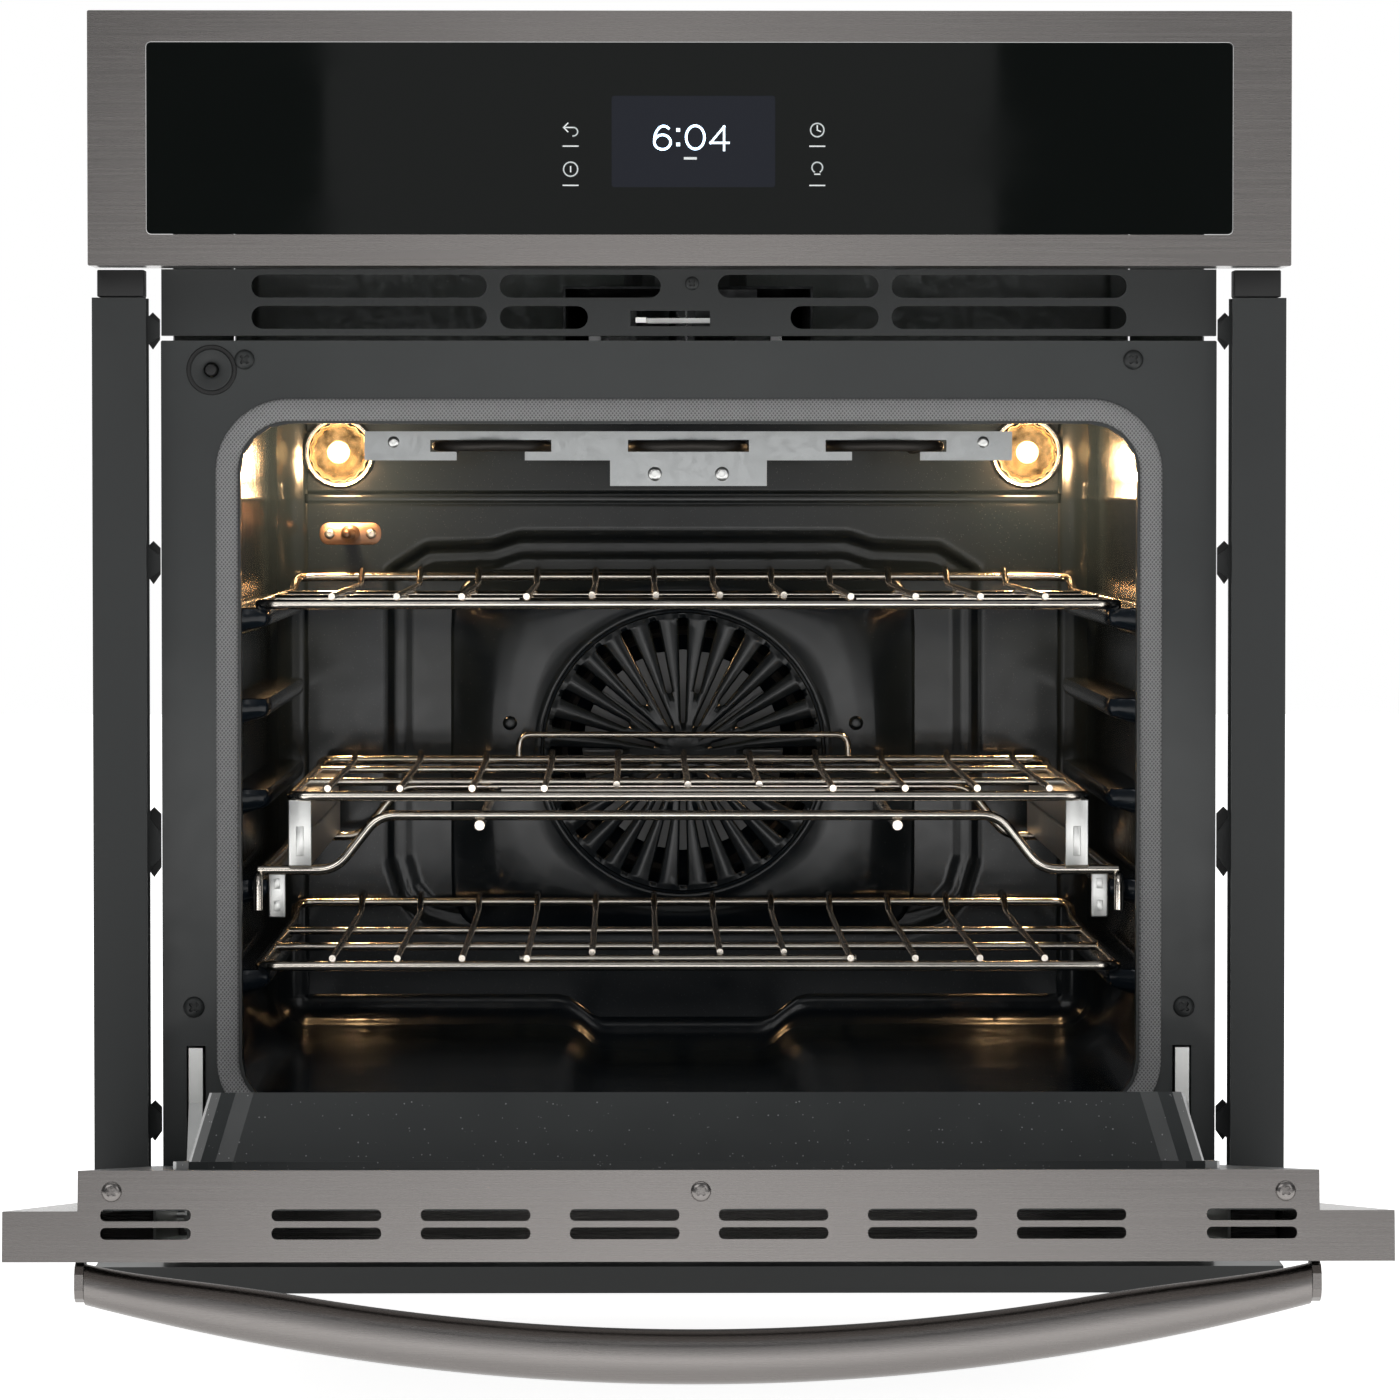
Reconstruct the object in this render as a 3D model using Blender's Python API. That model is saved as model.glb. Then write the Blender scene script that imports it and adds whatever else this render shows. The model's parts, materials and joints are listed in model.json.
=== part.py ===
"""Single electric wall oven with a drop-down door, drawn with the door open.

Metres, +X to the right seen from the front, +Y into the wall, +Z up. The origin is the centre
of the underside of the chassis base. Door pieces are drawn with the door shut and hang from an
empty on the hinge axis, which is turned to the open position.
"""

import math

import bmesh
import bpy
from mathutils import Matrix, Vector

# ---------------------------------------------------------------- driving sizes
GAP = 0.0003
OVEN_WIDTH = 0.686
CHASSIS_DEPTH = 0.569
DOOR_HEIGHT = 0.565
PANEL_HEIGHT = 0.145
DOOR_OPEN_ANGLE = 84.24

CHASSIS_SHEET = 0.0012
TRIM_SHEET = 0.002
ENAMEL_SHEET = 0.0015
SIDE_OVERLAP = 0.044
TOP_OVERLAP = 0.030
TRIM_DROP = 0.016
REAR_SPACE = 0.085

# door
DOOR_BOTTOM = 0.006
DOOR_OUTER_DEPTH = 0.025
DOOR_LINER_DEPTH = 0.020
DOOR_TO_FRAME = 0.008
DOOR_TRIM_THICKNESS = 0.002
LINER_SIDE_INSET = 0.037
LINER_BOTTOM_INSET = 0.014
LINER_STEP = 0.004
PLUG_HEIGHT = 0.035
PLUG_DRAFT = 0.010
PLUG_TOP_DRAFT = 0.006
PLUG_STEP_BORDER = 0.008
PLUG_CLEARANCE = 0.0005
PLUG_CORNER = 0.024
PIVOT_ABOVE_DOOR_EDGE = 0.024
PIVOT_BEHIND_DOOR_FACE = 0.016
DOOR_TO_PANEL = 0.004
WINDOW_SIDE_BORDER = 0.105
WINDOW_TOP_BORDER = 0.098
WINDOW_BOTTOM_BORDER = 0.112
INNER_WINDOW_BORDER = 0.045
GLASS = 0.004
GLASS_LAP = 0.012

# front frame and cavity
FRAME_OVERHANG = 0.0063
FRAME_TO_VENT_TRIM = 0.0028
VENT_TRIM_HEIGHT = 0.0384
VENT_TRIM_DEPTH = 0.012
VENT_SLOT_HEIGHT = 0.0132
VENT_SLOT_STEP = 0.117
VENT_SLOT_LAND = 0.0075
VENT_SLOT_END = 0.0523
VENT_CENTRE_LAND = 0.0165
VENT_LATCH_LAND = 0.0585
LATCH_SLOT = (-0.034, 0.012)
OPENING_SIDE_BORDER = 0.0458
OPENING_TOP_BORDER = 0.048
OPENING_BOTTOM = 0.089
OPENING_CORNER = 0.028
COLLAR_DEPTH = 0.010
GASKET_OFFSET = 0.0015
GASKET_WIDTH = 0.013
GASKET_PROUD = 0.0034
CAVITY_SIDE_GAP = 0.029
CAVITY_ABOVE_OPENING = 0.0105
FLOOR_ABOVE_OPENING = 0.003
WELL_DEPTH = 0.016
WELL_HALF_WIDTH = 0.052
WELL_SLOPE = 0.028
INSULATION = 0.016
INSULATION_CLEARANCE = 0.004

# rack supports and racks
LEDGE_COUNT = 6
LEDGE_BOTTOM_HEIGHT = 0.020
LEDGE_TOP_DROP = 0.119
LEDGE_REACH = 0.023
LEDGE_ROOT = 0.014
LEDGE_TIP = 0.008
LEDGE_FRONT_SETBACK = 0.0445
LEDGE_BACK_SETBACK = 0.030
RACK_FRONT_SETBACK = 0.040
RACK_BACK_SETBACK = 0.0145
RACK_SIDE_INSET = 0.018
RACK_ROD = 0.003
RACK_RAIL_ROD = RACK_ROD * 5 / 6
RACK_TINE_ROD = RACK_ROD * 2 / 3
WIRE_SINK = 0.0004
RACK_CORNER = 0.014
RACK_RISE = 0.010
RACK_RISE_RUN = 0.026
RACK_TINES = 12
TINE_MARGIN = 0.0433
SHORT_RAIL_SETBACK = 0.050
RACK_RAILS = (0.154, 0.294)
UPPER_RACK_LEDGE = 5
LOWER_RACK_LEDGE = 1
GLIDE_LEDGE = 2
GLIDE_RAILS = (0.170, 0.340)
GLIDE_TINES = 11
GLIDE_SIDE_INSET = 0.037
GLIDE_RISE = 0.050
GLIDE_BACK_SETBACK = 0.045
GUARD_HALF_WIDTH = 0.106
GUARD_HEIGHT = 0.016
SLIDE_WIDTH = 0.0135
SLIDE_HEIGHT = 0.035
CRADLE_ARCH = 0.032
CRADLE_ARCH_INSET = 0.070
CRADLE_ARCH_SLOPE = 0.025
CRADLE_WIRE_X = 0.1225

# heating, air and light
ELEMENT_ROD = 0.0032
ELEMENT_LOOP = 0.064
ELEMENT_LOOP_PITCH = 0.116
ELEMENT_BELOW_TOP = 0.023
ELEMENT_FRONT = 0.052
ELEMENT_BACK = 0.060
BRACKET_HALF_WIDTH = 0.190
BRACKET_HEIGHT = 0.017
BRACKET_PLATE_HALF_WIDTH = 0.046
BRACKET_PLATE_DROP = 0.015
BRACKET_SHEET = 0.001
BRACKET_FLANGE = 0.014
BAKE_BELOW_WELL = 0.009
FAN_ABOVE_FLOOR = 0.1836
FAN_COVER_RADIUS = 0.0936
FAN_PANEL_HALF_WIDTH = 0.150
FAN_PANEL_HALF_HEIGHT = 0.118
FAN_PANEL_SHEET = 0.0015
FAN_SLOTS = 28
FAN_WELL_RADIUS = 0.088
FAN_WELL_DEPTH = 0.035
FAN_RADIUS = 0.066
FAN_DEPTH = 0.018
FAN_BLADES = 10
SHAFT_RADIUS = 0.004
SHAFT_CLEARANCE = 0.0003
RING_ELEMENT_RADIUS = 0.079
MOTOR_RADIUS = 0.034
LAMP_INSET = 0.046
LAMP_BELOW_TOP = 0.025
LAMP_RADIUS = 0.0195
LAMP_DEPTH = 0.030
SENSOR_INSET = 0.053
SENSOR_BELOW_TOP = 0.078
BLOWER_RADIUS = 0.062
BLOWER_WALL = 0.0015
BLOWER_HEIGHT = 0.046

# hinges, latch and switch
HINGE_INSET = 0.0193
HINGE_ARM_THICKNESS = 0.008
HINGE_SLOT_WIDTH = 0.011
HINGE_SLOT_BOTTOM = 0.027
HINGE_SLOT_HEIGHT = 0.068
HINGE_PIN_RADIUS = 0.003
HINGE_EYE_RADIUS = 0.009
HINGE_CHANNEL_WIDTH = 0.020
HINGE_CHANNEL_LENGTH = 0.176
LATCH_THICKNESS = 0.003
LATCH_PIVOT_X = 0.020
LATCH_PIVOT_DEPTH = 0.030
LATCH_ARM = 0.048
LATCH_FINGER = 0.022
LATCH_HEIGHT = 0.0085
SWITCH_INSET = 0.0293
SWITCH_BELOW_TOP = 0.017
SWITCH_FLANGE_RADIUS = 0.0145
SWITCH_BARREL_RADIUS = 0.0115
PLUNGER_RADIUS = 0.0036

# trims, panel and handle
TRIM_INNER_GAP = 0.0067
TRIM_DEPTH = 0.024
TRIM_TO_DOOR = 0.002
SIDE_TRIM_BOTTOM = 0.048
SIDE_TRIM_TOP_DROP = 0.0174
PANEL_GLASS_SIDE = 0.0335
PANEL_GLASS_END = 0.018
HANDLE_SIDE_INSET = 0.0325
HANDLE_BELOW_TOP = 0.050
HANDLE_REACH = 0.062
HANDLE_END_REACH = 0.021
HANDLE_THICKNESS = 0.028
HANDLE_TALL = 0.030
HANDLE_CAP = 0.0045
TRIM_SLOT_HEIGHT = 0.0059
TRIM_SLOT_ROWS = (0.022, 0.031)
TRIM_SLOT_REACH = 0.1595
TRIM_SLOT_LAND = 0.0194
TRIM_END_SLOT = 0.0446
TRIM_END_SLOT_INSET = 0.0705

# ---------------------------------------------------------------- places that follow from them
HALF = OVEN_WIDTH / 2
CHASSIS_HALF = HALF - SIDE_OVERLAP
FACE_Y = -CHASSIS_DEPTH / 2
REAR_Y = CHASSIS_DEPTH / 2
DOOR_TOP = DOOR_BOTTOM + DOOR_HEIGHT
PANEL_BOTTOM = DOOR_TOP + DOOR_TO_PANEL
PANEL_TOP = PANEL_BOTTOM + PANEL_HEIGHT
CHASSIS_TOP = PANEL_TOP - TOP_OVERLAP
VENT_TOP = PANEL_BOTTOM - GAP
VENT_BOTTOM = VENT_TOP - VENT_TRIM_HEIGHT
FRAME_TOP = VENT_BOTTOM - FRAME_TO_VENT_TRIM
FRAME_HALF = CHASSIS_HALF + FRAME_OVERHANG
FRAME_BACK_Y = FACE_Y + TRIM_SHEET

DOOR_INNER_Y = FACE_Y - DOOR_TO_FRAME
DOOR_MID_Y = DOOR_INNER_Y - DOOR_LINER_DEPTH
DOOR_FACE_Y = DOOR_MID_Y - DOOR_OUTER_DEPTH
TRIM_FACE_Y = DOOR_MID_Y + TRIM_TO_DOOR
TRIM_BACK_Y = TRIM_FACE_Y + TRIM_DEPTH
PIVOT_Y = DOOR_FACE_Y + PIVOT_BEHIND_DOOR_FACE
PIVOT_Z = DOOR_BOTTOM + PIVOT_ABOVE_DOOR_EDGE

OPENING_HALF = FRAME_HALF - OPENING_SIDE_BORDER
OPENING_TOP = FRAME_TOP - OPENING_TOP_BORDER
CAVITY_HALF = CHASSIS_HALF - CAVITY_SIDE_GAP
CAVITY_FLOOR = OPENING_BOTTOM + FLOOR_ABOVE_OPENING
CAVITY_TOP = OPENING_TOP + CAVITY_ABOVE_OPENING
CHASSIS_FRONT_Y = FRAME_BACK_Y + GAP
CAVITY_FRONT_Y = FACE_Y + COLLAR_DEPTH + GAP
CAVITY_BACK_Y = REAR_Y - REAR_SPACE
WELL_FLOOR = CAVITY_FLOOR - WELL_DEPTH

LEDGE_HALF = CAVITY_HALF - LEDGE_REACH
LEDGE_LOWEST = CAVITY_FLOOR + LEDGE_BOTTOM_HEIGHT
LEDGE_PITCH = (CAVITY_TOP - LEDGE_TOP_DROP - LEDGE_LOWEST) / (LEDGE_COUNT - 1)
RACK_HALF = CAVITY_HALF - RACK_SIDE_INSET
RACK_FRONT_Y = FACE_Y + RACK_FRONT_SETBACK
RACK_BACK_Y = CAVITY_BACK_Y - RACK_BACK_SETBACK

HINGE_X = FRAME_HALF - HINGE_INSET
LATCH_Z = VENT_BOTTOM + LATCH_HEIGHT
FAN_Z = CAVITY_FLOOR + FAN_ABOVE_FLOOR
LAMP_X = CAVITY_HALF - LAMP_INSET
LAMP_Z = CAVITY_TOP - LAMP_BELOW_TOP
LAMP_HOLE = LAMP_RADIUS - 0.0045
ELEMENT_Z = CAVITY_TOP - ELEMENT_BELOW_TOP
INSULATION_HALF = CAVITY_HALF + ENAMEL_SHEET + INSULATION_CLEARANCE + INSULATION
INSULATION_TOP = CAVITY_TOP + ENAMEL_SHEET + INSULATION_CLEARANCE + INSULATION

SIDES = (("left", -1), ("right", 1))


# ---------------------------------------------------------------- finishes
def finish(name, color, roughness, metallic=0.0):
    """One Principled material."""
    material = bpy.data.materials.new(name)
    material.use_nodes = True
    shader = material.node_tree.nodes["Principled BSDF"]
    shader.inputs["Base Color"].default_value = (*color, 1.0)
    shader.inputs["Roughness"].default_value = roughness
    shader.inputs["Metallic"].default_value = metallic
    material.diffuse_color = (*color, 1.0)
    return material


def make_finishes():
    return {
        "galvanised": finish("galvanised_steel", (0.50, 0.51, 0.51), 0.42, 1.0),
        "black_steel": finish("black_stainless", (0.24, 0.22, 0.21), 0.34, 0.9),
        "painted": finish("dark_painted_steel", (0.035, 0.036, 0.037), 0.45),
        "porcelain": finish("speckled_porcelain", (0.055, 0.056, 0.056), 0.35),
        "enamel": finish("cavity_enamel", (0.020, 0.024, 0.027), 0.12),
        "wool": finish("insulation_wool", (0.55, 0.50, 0.36), 0.95),
        "gasket": finish("woven_gasket", (0.20, 0.20, 0.20), 0.9),
        "glass": finish("black_glass", (0.006, 0.007, 0.006), 0.06),
        "clear_glass": finish("clear_glass", (0.30, 0.33, 0.32), 0.05),
        "board": finish("circuit_board", (0.02, 0.12, 0.05), 0.5),
        "plastic": finish("black_plastic", (0.02, 0.02, 0.02), 0.5),
        "chrome": finish("nickel_wire", (0.72, 0.68, 0.62), 0.18, 1.0),
        "zinc": finish("bright_zinc", (0.72, 0.72, 0.70), 0.30, 1.0),
        "element": finish("heating_element", (0.07, 0.065, 0.06), 0.5, 0.6),
        "aluminium": finish("aluminium", (0.78, 0.78, 0.78), 0.35, 1.0),
        "copper": finish("sensor_brass", (0.42, 0.27, 0.20), 0.35, 0.9),
        "lens": finish("lamp_glass", (0.95, 0.83, 0.60), 0.08),
        "ceramic": finish("lamp_ceramic", (0.75, 0.73, 0.68), 0.6),
    }


# ---------------------------------------------------------------- shape helpers
def place(axis, a, b, along):
    """The 3-D point of an outline point (a, b) on a prism that runs along this axis."""
    if axis == "X":
        return (along, a, b)
    if axis == "Y":
        return (a, along, b)
    return (a, b, along)


def prism(bm, outline, axis, span):
    """Extrudes a closed outline: (y, z) along X, (x, z) along Y or (x, y) along Z."""
    start = [bm.verts.new(place(axis, a, b, span[0])) for a, b in outline]
    end = [bm.verts.new(place(axis, a, b, span[1])) for a, b in outline]
    bm.faces.new(start)
    bm.faces.new(list(reversed(end)))
    for i, vertex in enumerate(start):
        j = (i + 1) % len(start)
        bm.faces.new((vertex, end[i], end[j], start[j]))


def box(bm, x, y, z):
    prism(bm, [(x[0], y[0]), (x[1], y[0]), (x[1], y[1]), (x[0], y[1])], "Z", z)


def arc(centre, radius, start, end, steps):
    """Points on an arc in degrees, both ends included."""
    return [
        (
            centre[0] + radius * math.cos(math.radians(start + (end - start) * i / steps)),
            centre[1] + radius * math.sin(math.radians(start + (end - start) * i / steps)),
        )
        for i in range(steps + 1)
    ]


def cylinder(bm, centre, radius, axis, span, sides=24):
    """A round bar whose centre is given in the two coordinates across its axis."""
    prism(bm, arc(centre, radius, 0, 360 - 360 / sides, sides - 1), axis, span)


def rounded_box_outline(x, z, radius, steps=4):
    """A rectangle with round corners, as (x, z) points."""
    outline = []
    corners = ((x[1], z[1], 0), (x[0], z[1], 90), (x[0], z[0], 180), (x[1], z[0], 270))
    for corner_x, corner_z, start in corners:
        centre = (
            corner_x + math.copysign(radius, (x[0] + x[1]) / 2 - corner_x),
            corner_z + math.copysign(radius, (z[0] + z[1]) / 2 - corner_z),
        )
        outline += arc(centre, radius, start, start + 90, steps)
    return outline


def ring(bm, loops):
    """A closed band through (x range, z range, corner radius, y) loops, the last joined to the first."""
    rows = [
        [bm.verts.new((a, y, b)) for a, b in rounded_box_outline(x, z, radius)]
        for x, z, radius, y in loops
    ]
    for i, row in enumerate(rows):
        other = rows[(i + 1) % len(rows)]
        for j, vertex in enumerate(row):
            k = (j + 1) % len(row)
            bm.faces.new((vertex, row[k], other[k], other[j]))


def tray(bm, x, y, z, wall, open_side):
    """A five-sided box of sheet, open on one side: '+Z', '-Y' and so on."""
    spans = [list(x), list(y), list(z)]
    inner = [[low + wall, high - wall] for low, high in spans]
    axis = "XYZ".index(open_side[1])
    end = 1 if open_side[0] == "+" else 0
    inner[axis][end] = spans[axis][end]
    shells = []
    for ranges in (spans, inner):
        shells.append(
            {
                (i, j, k): bm.verts.new((ranges[0][i], ranges[1][j], ranges[2][k]))
                for i in (0, 1)
                for j in (0, 1)
                for k in (0, 1)
            }
        )
    for direction in range(3):
        for level in (0, 1):
            around = [(0, 0), (1, 0), (1, 1), (0, 1)]
            keys = [(*pair[:direction], level, *pair[direction:]) for pair in around]
            if direction == axis and level == end:
                for n, key in enumerate(keys):
                    after = keys[(n + 1) % 4]
                    bm.faces.new((shells[0][key], shells[0][after], shells[1][after], shells[1][key]))
                continue
            for shell in shells:
                bm.faces.new([shell[key] for key in keys])


def rounded_path(points, radius, steps=3, closed=False):
    """The polyline with each corner rounded by an arc of straight pieces."""
    points = [Vector(p) for p in points]
    count = len(points)
    path = []
    for i, corner in enumerate(points):
        if not closed and i in (0, count - 1):
            path.append(corner)
            continue
        before = (points[i - 1] - corner).normalized()
        after = (points[(i + 1) % count] - corner).normalized()
        half_angle = before.angle(after) / 2
        if half_angle > math.radians(89):
            path.append(corner)
            continue
        reach = radius / math.tan(half_angle)
        start = corner + before * reach
        centre = corner + (before + after).normalized() * (radius / math.sin(half_angle))
        normal = before.cross(after).normalized()
        turn = -(math.pi - 2 * half_angle) / steps
        for step in range(steps + 1):
            path.append(centre + Matrix.Rotation(turn * step, 3, normal) @ (start - centre))
    return path


def tube(bm, points, radius, sides=6, closed=False):
    """A round wire along a path, with a vertex of each ring turned as far up as it goes."""
    points = [Vector(p) for p in points]
    count = len(points)
    rings = []
    side = None
    for i, point in enumerate(points):
        before = points[i - 1] if closed or i else point
        after = points[(i + 1) % count] if closed or i < count - 1 else point
        way_in = (point - before).normalized() if point != before else None
        way_out = (after - point).normalized() if after != point else None
        tangent = ((way_in or way_out) + (way_out or way_in)).normalized()
        if side is None:
            up = Vector((0, 0, 1)) if abs(tangent.z) < 0.9 else Vector((0, 1, 0))
            side = tangent.cross(up).normalized()
        side = (side - tangent * side.dot(tangent)).normalized()
        up = side.cross(tangent)
        ring_verts = []
        for k in range(sides):
            angle = 2 * math.pi * k / sides
            offset = up * math.cos(angle) + side * math.sin(angle)
            ring_verts.append(bm.verts.new(point + offset * radius))
        rings.append(ring_verts)
    for i in range(count if closed else count - 1):
        first, second = rings[i], rings[(i + 1) % count]
        for k in range(sides):
            after_k = (k + 1) % sides
            bm.faces.new((first[k], first[after_k], second[after_k], second[k]))
    if not closed:
        bm.faces.new(list(reversed(rings[0])))
        bm.faces.new(rings[-1])


# ---------------------------------------------------------------- object helpers
def shape_object(name, shapes, material=None, pivot=None, smooth=None):
    """An object whose mesh is drawn by shapes(bm) in the oven's own coordinates."""
    bm = bmesh.new()
    shapes(bm)
    bmesh.ops.recalc_face_normals(bm, faces=bm.faces)
    if pivot is not None:
        bmesh.ops.translate(bm, verts=bm.verts, vec=-pivot.location)
    mesh = bpy.data.meshes.new(name)
    bm.to_mesh(mesh)
    bm.free()
    if smooth is not None:
        mesh.shade_smooth()
        mesh.set_sharp_from_angle(angle=math.radians(smooth))
    if material is not None:
        mesh.materials.append(material)
    obj = bpy.data.objects.new(name, mesh)
    bpy.context.scene.collection.objects.link(obj)
    obj.parent = pivot
    return obj


def combine(obj, operation, name, shapes):
    """Joins to the object, or cuts from it, what shapes(bm) draws."""
    helper = shape_object(f"{obj.name}_{name}", shapes, pivot=obj.parent)
    helper.hide_render = True
    helper.display_type = "WIRE"
    modifier = obj.modifiers.new(name, "BOOLEAN")
    modifier.operation = operation
    modifier.object = helper
    return obj


def cut(obj, name, shapes):
    return combine(obj, "DIFFERENCE", name, shapes)


def join(obj, name, shapes):
    return combine(obj, "UNION", name, shapes)


def pivot_empty(name, location, turn=(0.0, 0.0, 0.0)):
    empty = bpy.data.objects.new(name, None)
    empty.location = location
    empty.rotation_euler = [math.radians(angle) for angle in turn]
    bpy.context.scene.collection.objects.link(empty)
    return empty


# ---------------------------------------------------------------- chassis
def make_chassis(kit):
    inner = CHASSIS_HALF - CHASSIS_SHEET - GAP
    rear = REAR_Y - CHASSIS_SHEET - GAP
    panel_front = FACE_Y + VENT_TRIM_DEPTH + GAP
    shape_object(
        "base_pan",
        lambda bm: tray(
            bm, (-inner, inner), (CHASSIS_FRONT_Y, rear), (0, 0.022), CHASSIS_SHEET, "+Z"
        ),
        kit["galvanised"],
    )
    for side, sign in SIDES:
        panel_x = sorted((sign * (CHASSIS_HALF - CHASSIS_SHEET), sign * CHASSIS_HALF))
        shape_object(
            f"side_panel_{side}",
            lambda bm, x=panel_x: box(bm, x, (panel_front, REAR_Y), (0, CHASSIS_TOP)),
            kit["galvanised"],
        )
    shape_object(
        "top_panel",
        lambda bm: box(
            bm, (-inner, inner), (CHASSIS_FRONT_Y, rear), (CHASSIS_TOP - CHASSIS_SHEET, CHASSIS_TOP)
        ),
        kit["galvanised"],
    )
    back = shape_object(
        "rear_panel",
        lambda bm: box(bm, (-inner, inner), (REAR_Y - CHASSIS_SHEET, REAR_Y), (0, CHASSIS_TOP)),
        kit["galvanised"],
    )
    cut(back, "louvres", rear_louvres)
    shape_object("junction_box", junction_box, kit["galvanised"])


def rear_louvres(bm):
    """Two rows of air slots over the motor, in the middle third of the panel."""
    slot_pitch = 0.044
    for row_z in (CHASSIS_TOP - 0.060, CHASSIS_TOP - 0.085):
        for i in range(5):
            x = (i - 2) * slot_pitch
            box(bm, (x - 0.016, x + 0.016), (REAR_Y - 0.01, REAR_Y + 0.01), (row_z, row_z + 0.006))


def junction_box(bm):
    """The supply junction box on the chassis top, open at the rear where the conduit enters."""
    tray(
        bm,
        (-CHASSIS_HALF + 0.040, -CHASSIS_HALF + 0.150),
        (REAR_Y - 0.090, REAR_Y - 0.010),
        (CHASSIS_TOP + GAP, PANEL_TOP - 0.002),
        CHASSIS_SHEET,
        "+Y",
    )


def frame_cuts(bm):
    """The two hinge slots and the hole of the light switch."""
    for _, sign in SIDES:
        x = sign * HINGE_X
        low = PIVOT_Z + HINGE_SLOT_BOTTOM
        box(
            bm,
            (x - HINGE_SLOT_WIDTH / 2, x + HINGE_SLOT_WIDTH / 2),
            (FACE_Y - 0.01, FRAME_BACK_Y + 0.01),
            (low, low + HINGE_SLOT_HEIGHT),
        )
    cylinder(
        bm,
        (-FRAME_HALF + SWITCH_INSET, FRAME_TOP - SWITCH_BELOW_TOP),
        SWITCH_BARREL_RADIUS + GAP,
        "Y",
        (FACE_Y - 0.01, FRAME_BACK_Y + 0.01),
    )


def make_front_frame(kit):
    outer = ((-FRAME_HALF, FRAME_HALF), (GAP, FRAME_TOP), 0.001)
    opening = ((-OPENING_HALF, OPENING_HALF), (OPENING_BOTTOM, OPENING_TOP), OPENING_CORNER)
    sheet = ENAMEL_SHEET
    collar = (
        (-OPENING_HALF - sheet, OPENING_HALF + sheet),
        (OPENING_BOTTOM - sheet, OPENING_TOP + sheet),
        OPENING_CORNER + sheet,
    )
    loops = [
        (*outer, FACE_Y),
        (*outer, FRAME_BACK_Y),
        (*collar, FRAME_BACK_Y),
        (*collar, FACE_Y + COLLAR_DEPTH),
        (*opening, FACE_Y + COLLAR_DEPTH),
        (*opening, FACE_Y),
    ]
    frame = shape_object("front_frame", lambda bm: ring(bm, loops), kit["porcelain"])
    cut(frame, "slots", frame_cuts)

    inner_x = OPENING_HALF + GASKET_OFFSET
    outer_x = inner_x + GASKET_WIDTH
    radius = OPENING_CORNER + GASKET_OFFSET
    inner = ((-inner_x, inner_x), (OPENING_BOTTOM - GASKET_OFFSET, OPENING_TOP + GASKET_OFFSET), radius)
    outer = (
        (-outer_x, outer_x),
        (inner[1][0] - GASKET_WIDTH, inner[1][1] + GASKET_WIDTH),
        radius + GASKET_WIDTH,
    )
    back_y = FACE_Y - GAP
    front_y = back_y - GASKET_PROUD
    seal = [(*outer, front_y), (*outer, back_y), (*inner, back_y), (*inner, front_y)]
    shape_object("door_gasket", lambda bm: ring(bm, seal), kit["gasket"])


# ---------------------------------------------------------------- oven cavity
def floor_outline():
    """The floor sheet seen from the front: flat shoulders either side of a shallow well."""
    half = CAVITY_HALF - GAP
    upper = [
        (-half, CAVITY_FLOOR),
        (-WELL_HALF_WIDTH - WELL_SLOPE, CAVITY_FLOOR),
        (-WELL_HALF_WIDTH, WELL_FLOOR),
        (WELL_HALF_WIDTH, WELL_FLOOR),
        (WELL_HALF_WIDTH + WELL_SLOPE, CAVITY_FLOOR),
        (half, CAVITY_FLOOR),
    ]
    lower = [(x, z - ENAMEL_SHEET) for x, z in reversed(upper)]
    return upper + lower


def ledge_top(index):
    return LEDGE_LOWEST + LEDGE_PITCH * index


def ledges(bm, sign):
    """Pressed rack ledges along one wall, each sunk into the sheet that it belongs to."""
    wall_x = sign * (CAVITY_HALF + ENAMEL_SHEET / 2)
    tip_x = sign * LEDGE_HALF
    for index in range(LEDGE_COUNT):
        top = ledge_top(index)
        outline = [
            (wall_x, top),
            (tip_x, top),
            (tip_x, top - LEDGE_TIP),
            (wall_x, top - LEDGE_ROOT),
        ]
        prism(
            bm,
            outline,
            "Y",
            (FACE_Y + LEDGE_FRONT_SETBACK, CAVITY_BACK_Y - LEDGE_BACK_SETBACK),
        )


def back_cuts(bm):
    """Holes of the back sheet: the fan well, the two lamps and the sensor."""
    cylinder(bm, (0, FAN_Z), FAN_WELL_RADIUS, "Y", (CAVITY_BACK_Y - 0.01, well_bottom()), 40)
    for _, sign in SIDES:
        cylinder(
            bm, (sign * LAMP_X, LAMP_Z), LAMP_HOLE, "Y", (CAVITY_BACK_Y - 0.01, CAVITY_BACK_Y + 0.02), 16
        )


def well_bottom():
    return CAVITY_BACK_Y + FAN_WELL_DEPTH


def element_leg_x():
    return RING_ELEMENT_RADIUS * math.sin(math.radians(9))


def well_cuts(bm):
    """Holes in the bottom of the fan well for the shaft and the element's two legs."""
    span = (well_bottom() - 0.01, well_bottom() + 0.02)
    cylinder(bm, (0, FAN_Z), SHAFT_RADIUS + 0.004, "Y", span, 16)
    leg_z = FAN_Z - RING_ELEMENT_RADIUS * math.cos(math.radians(9))
    for _, sign in SIDES:
        cylinder(bm, (sign * element_leg_x(), leg_z), ELEMENT_ROD + 0.001, "Y", span, 12)


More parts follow.
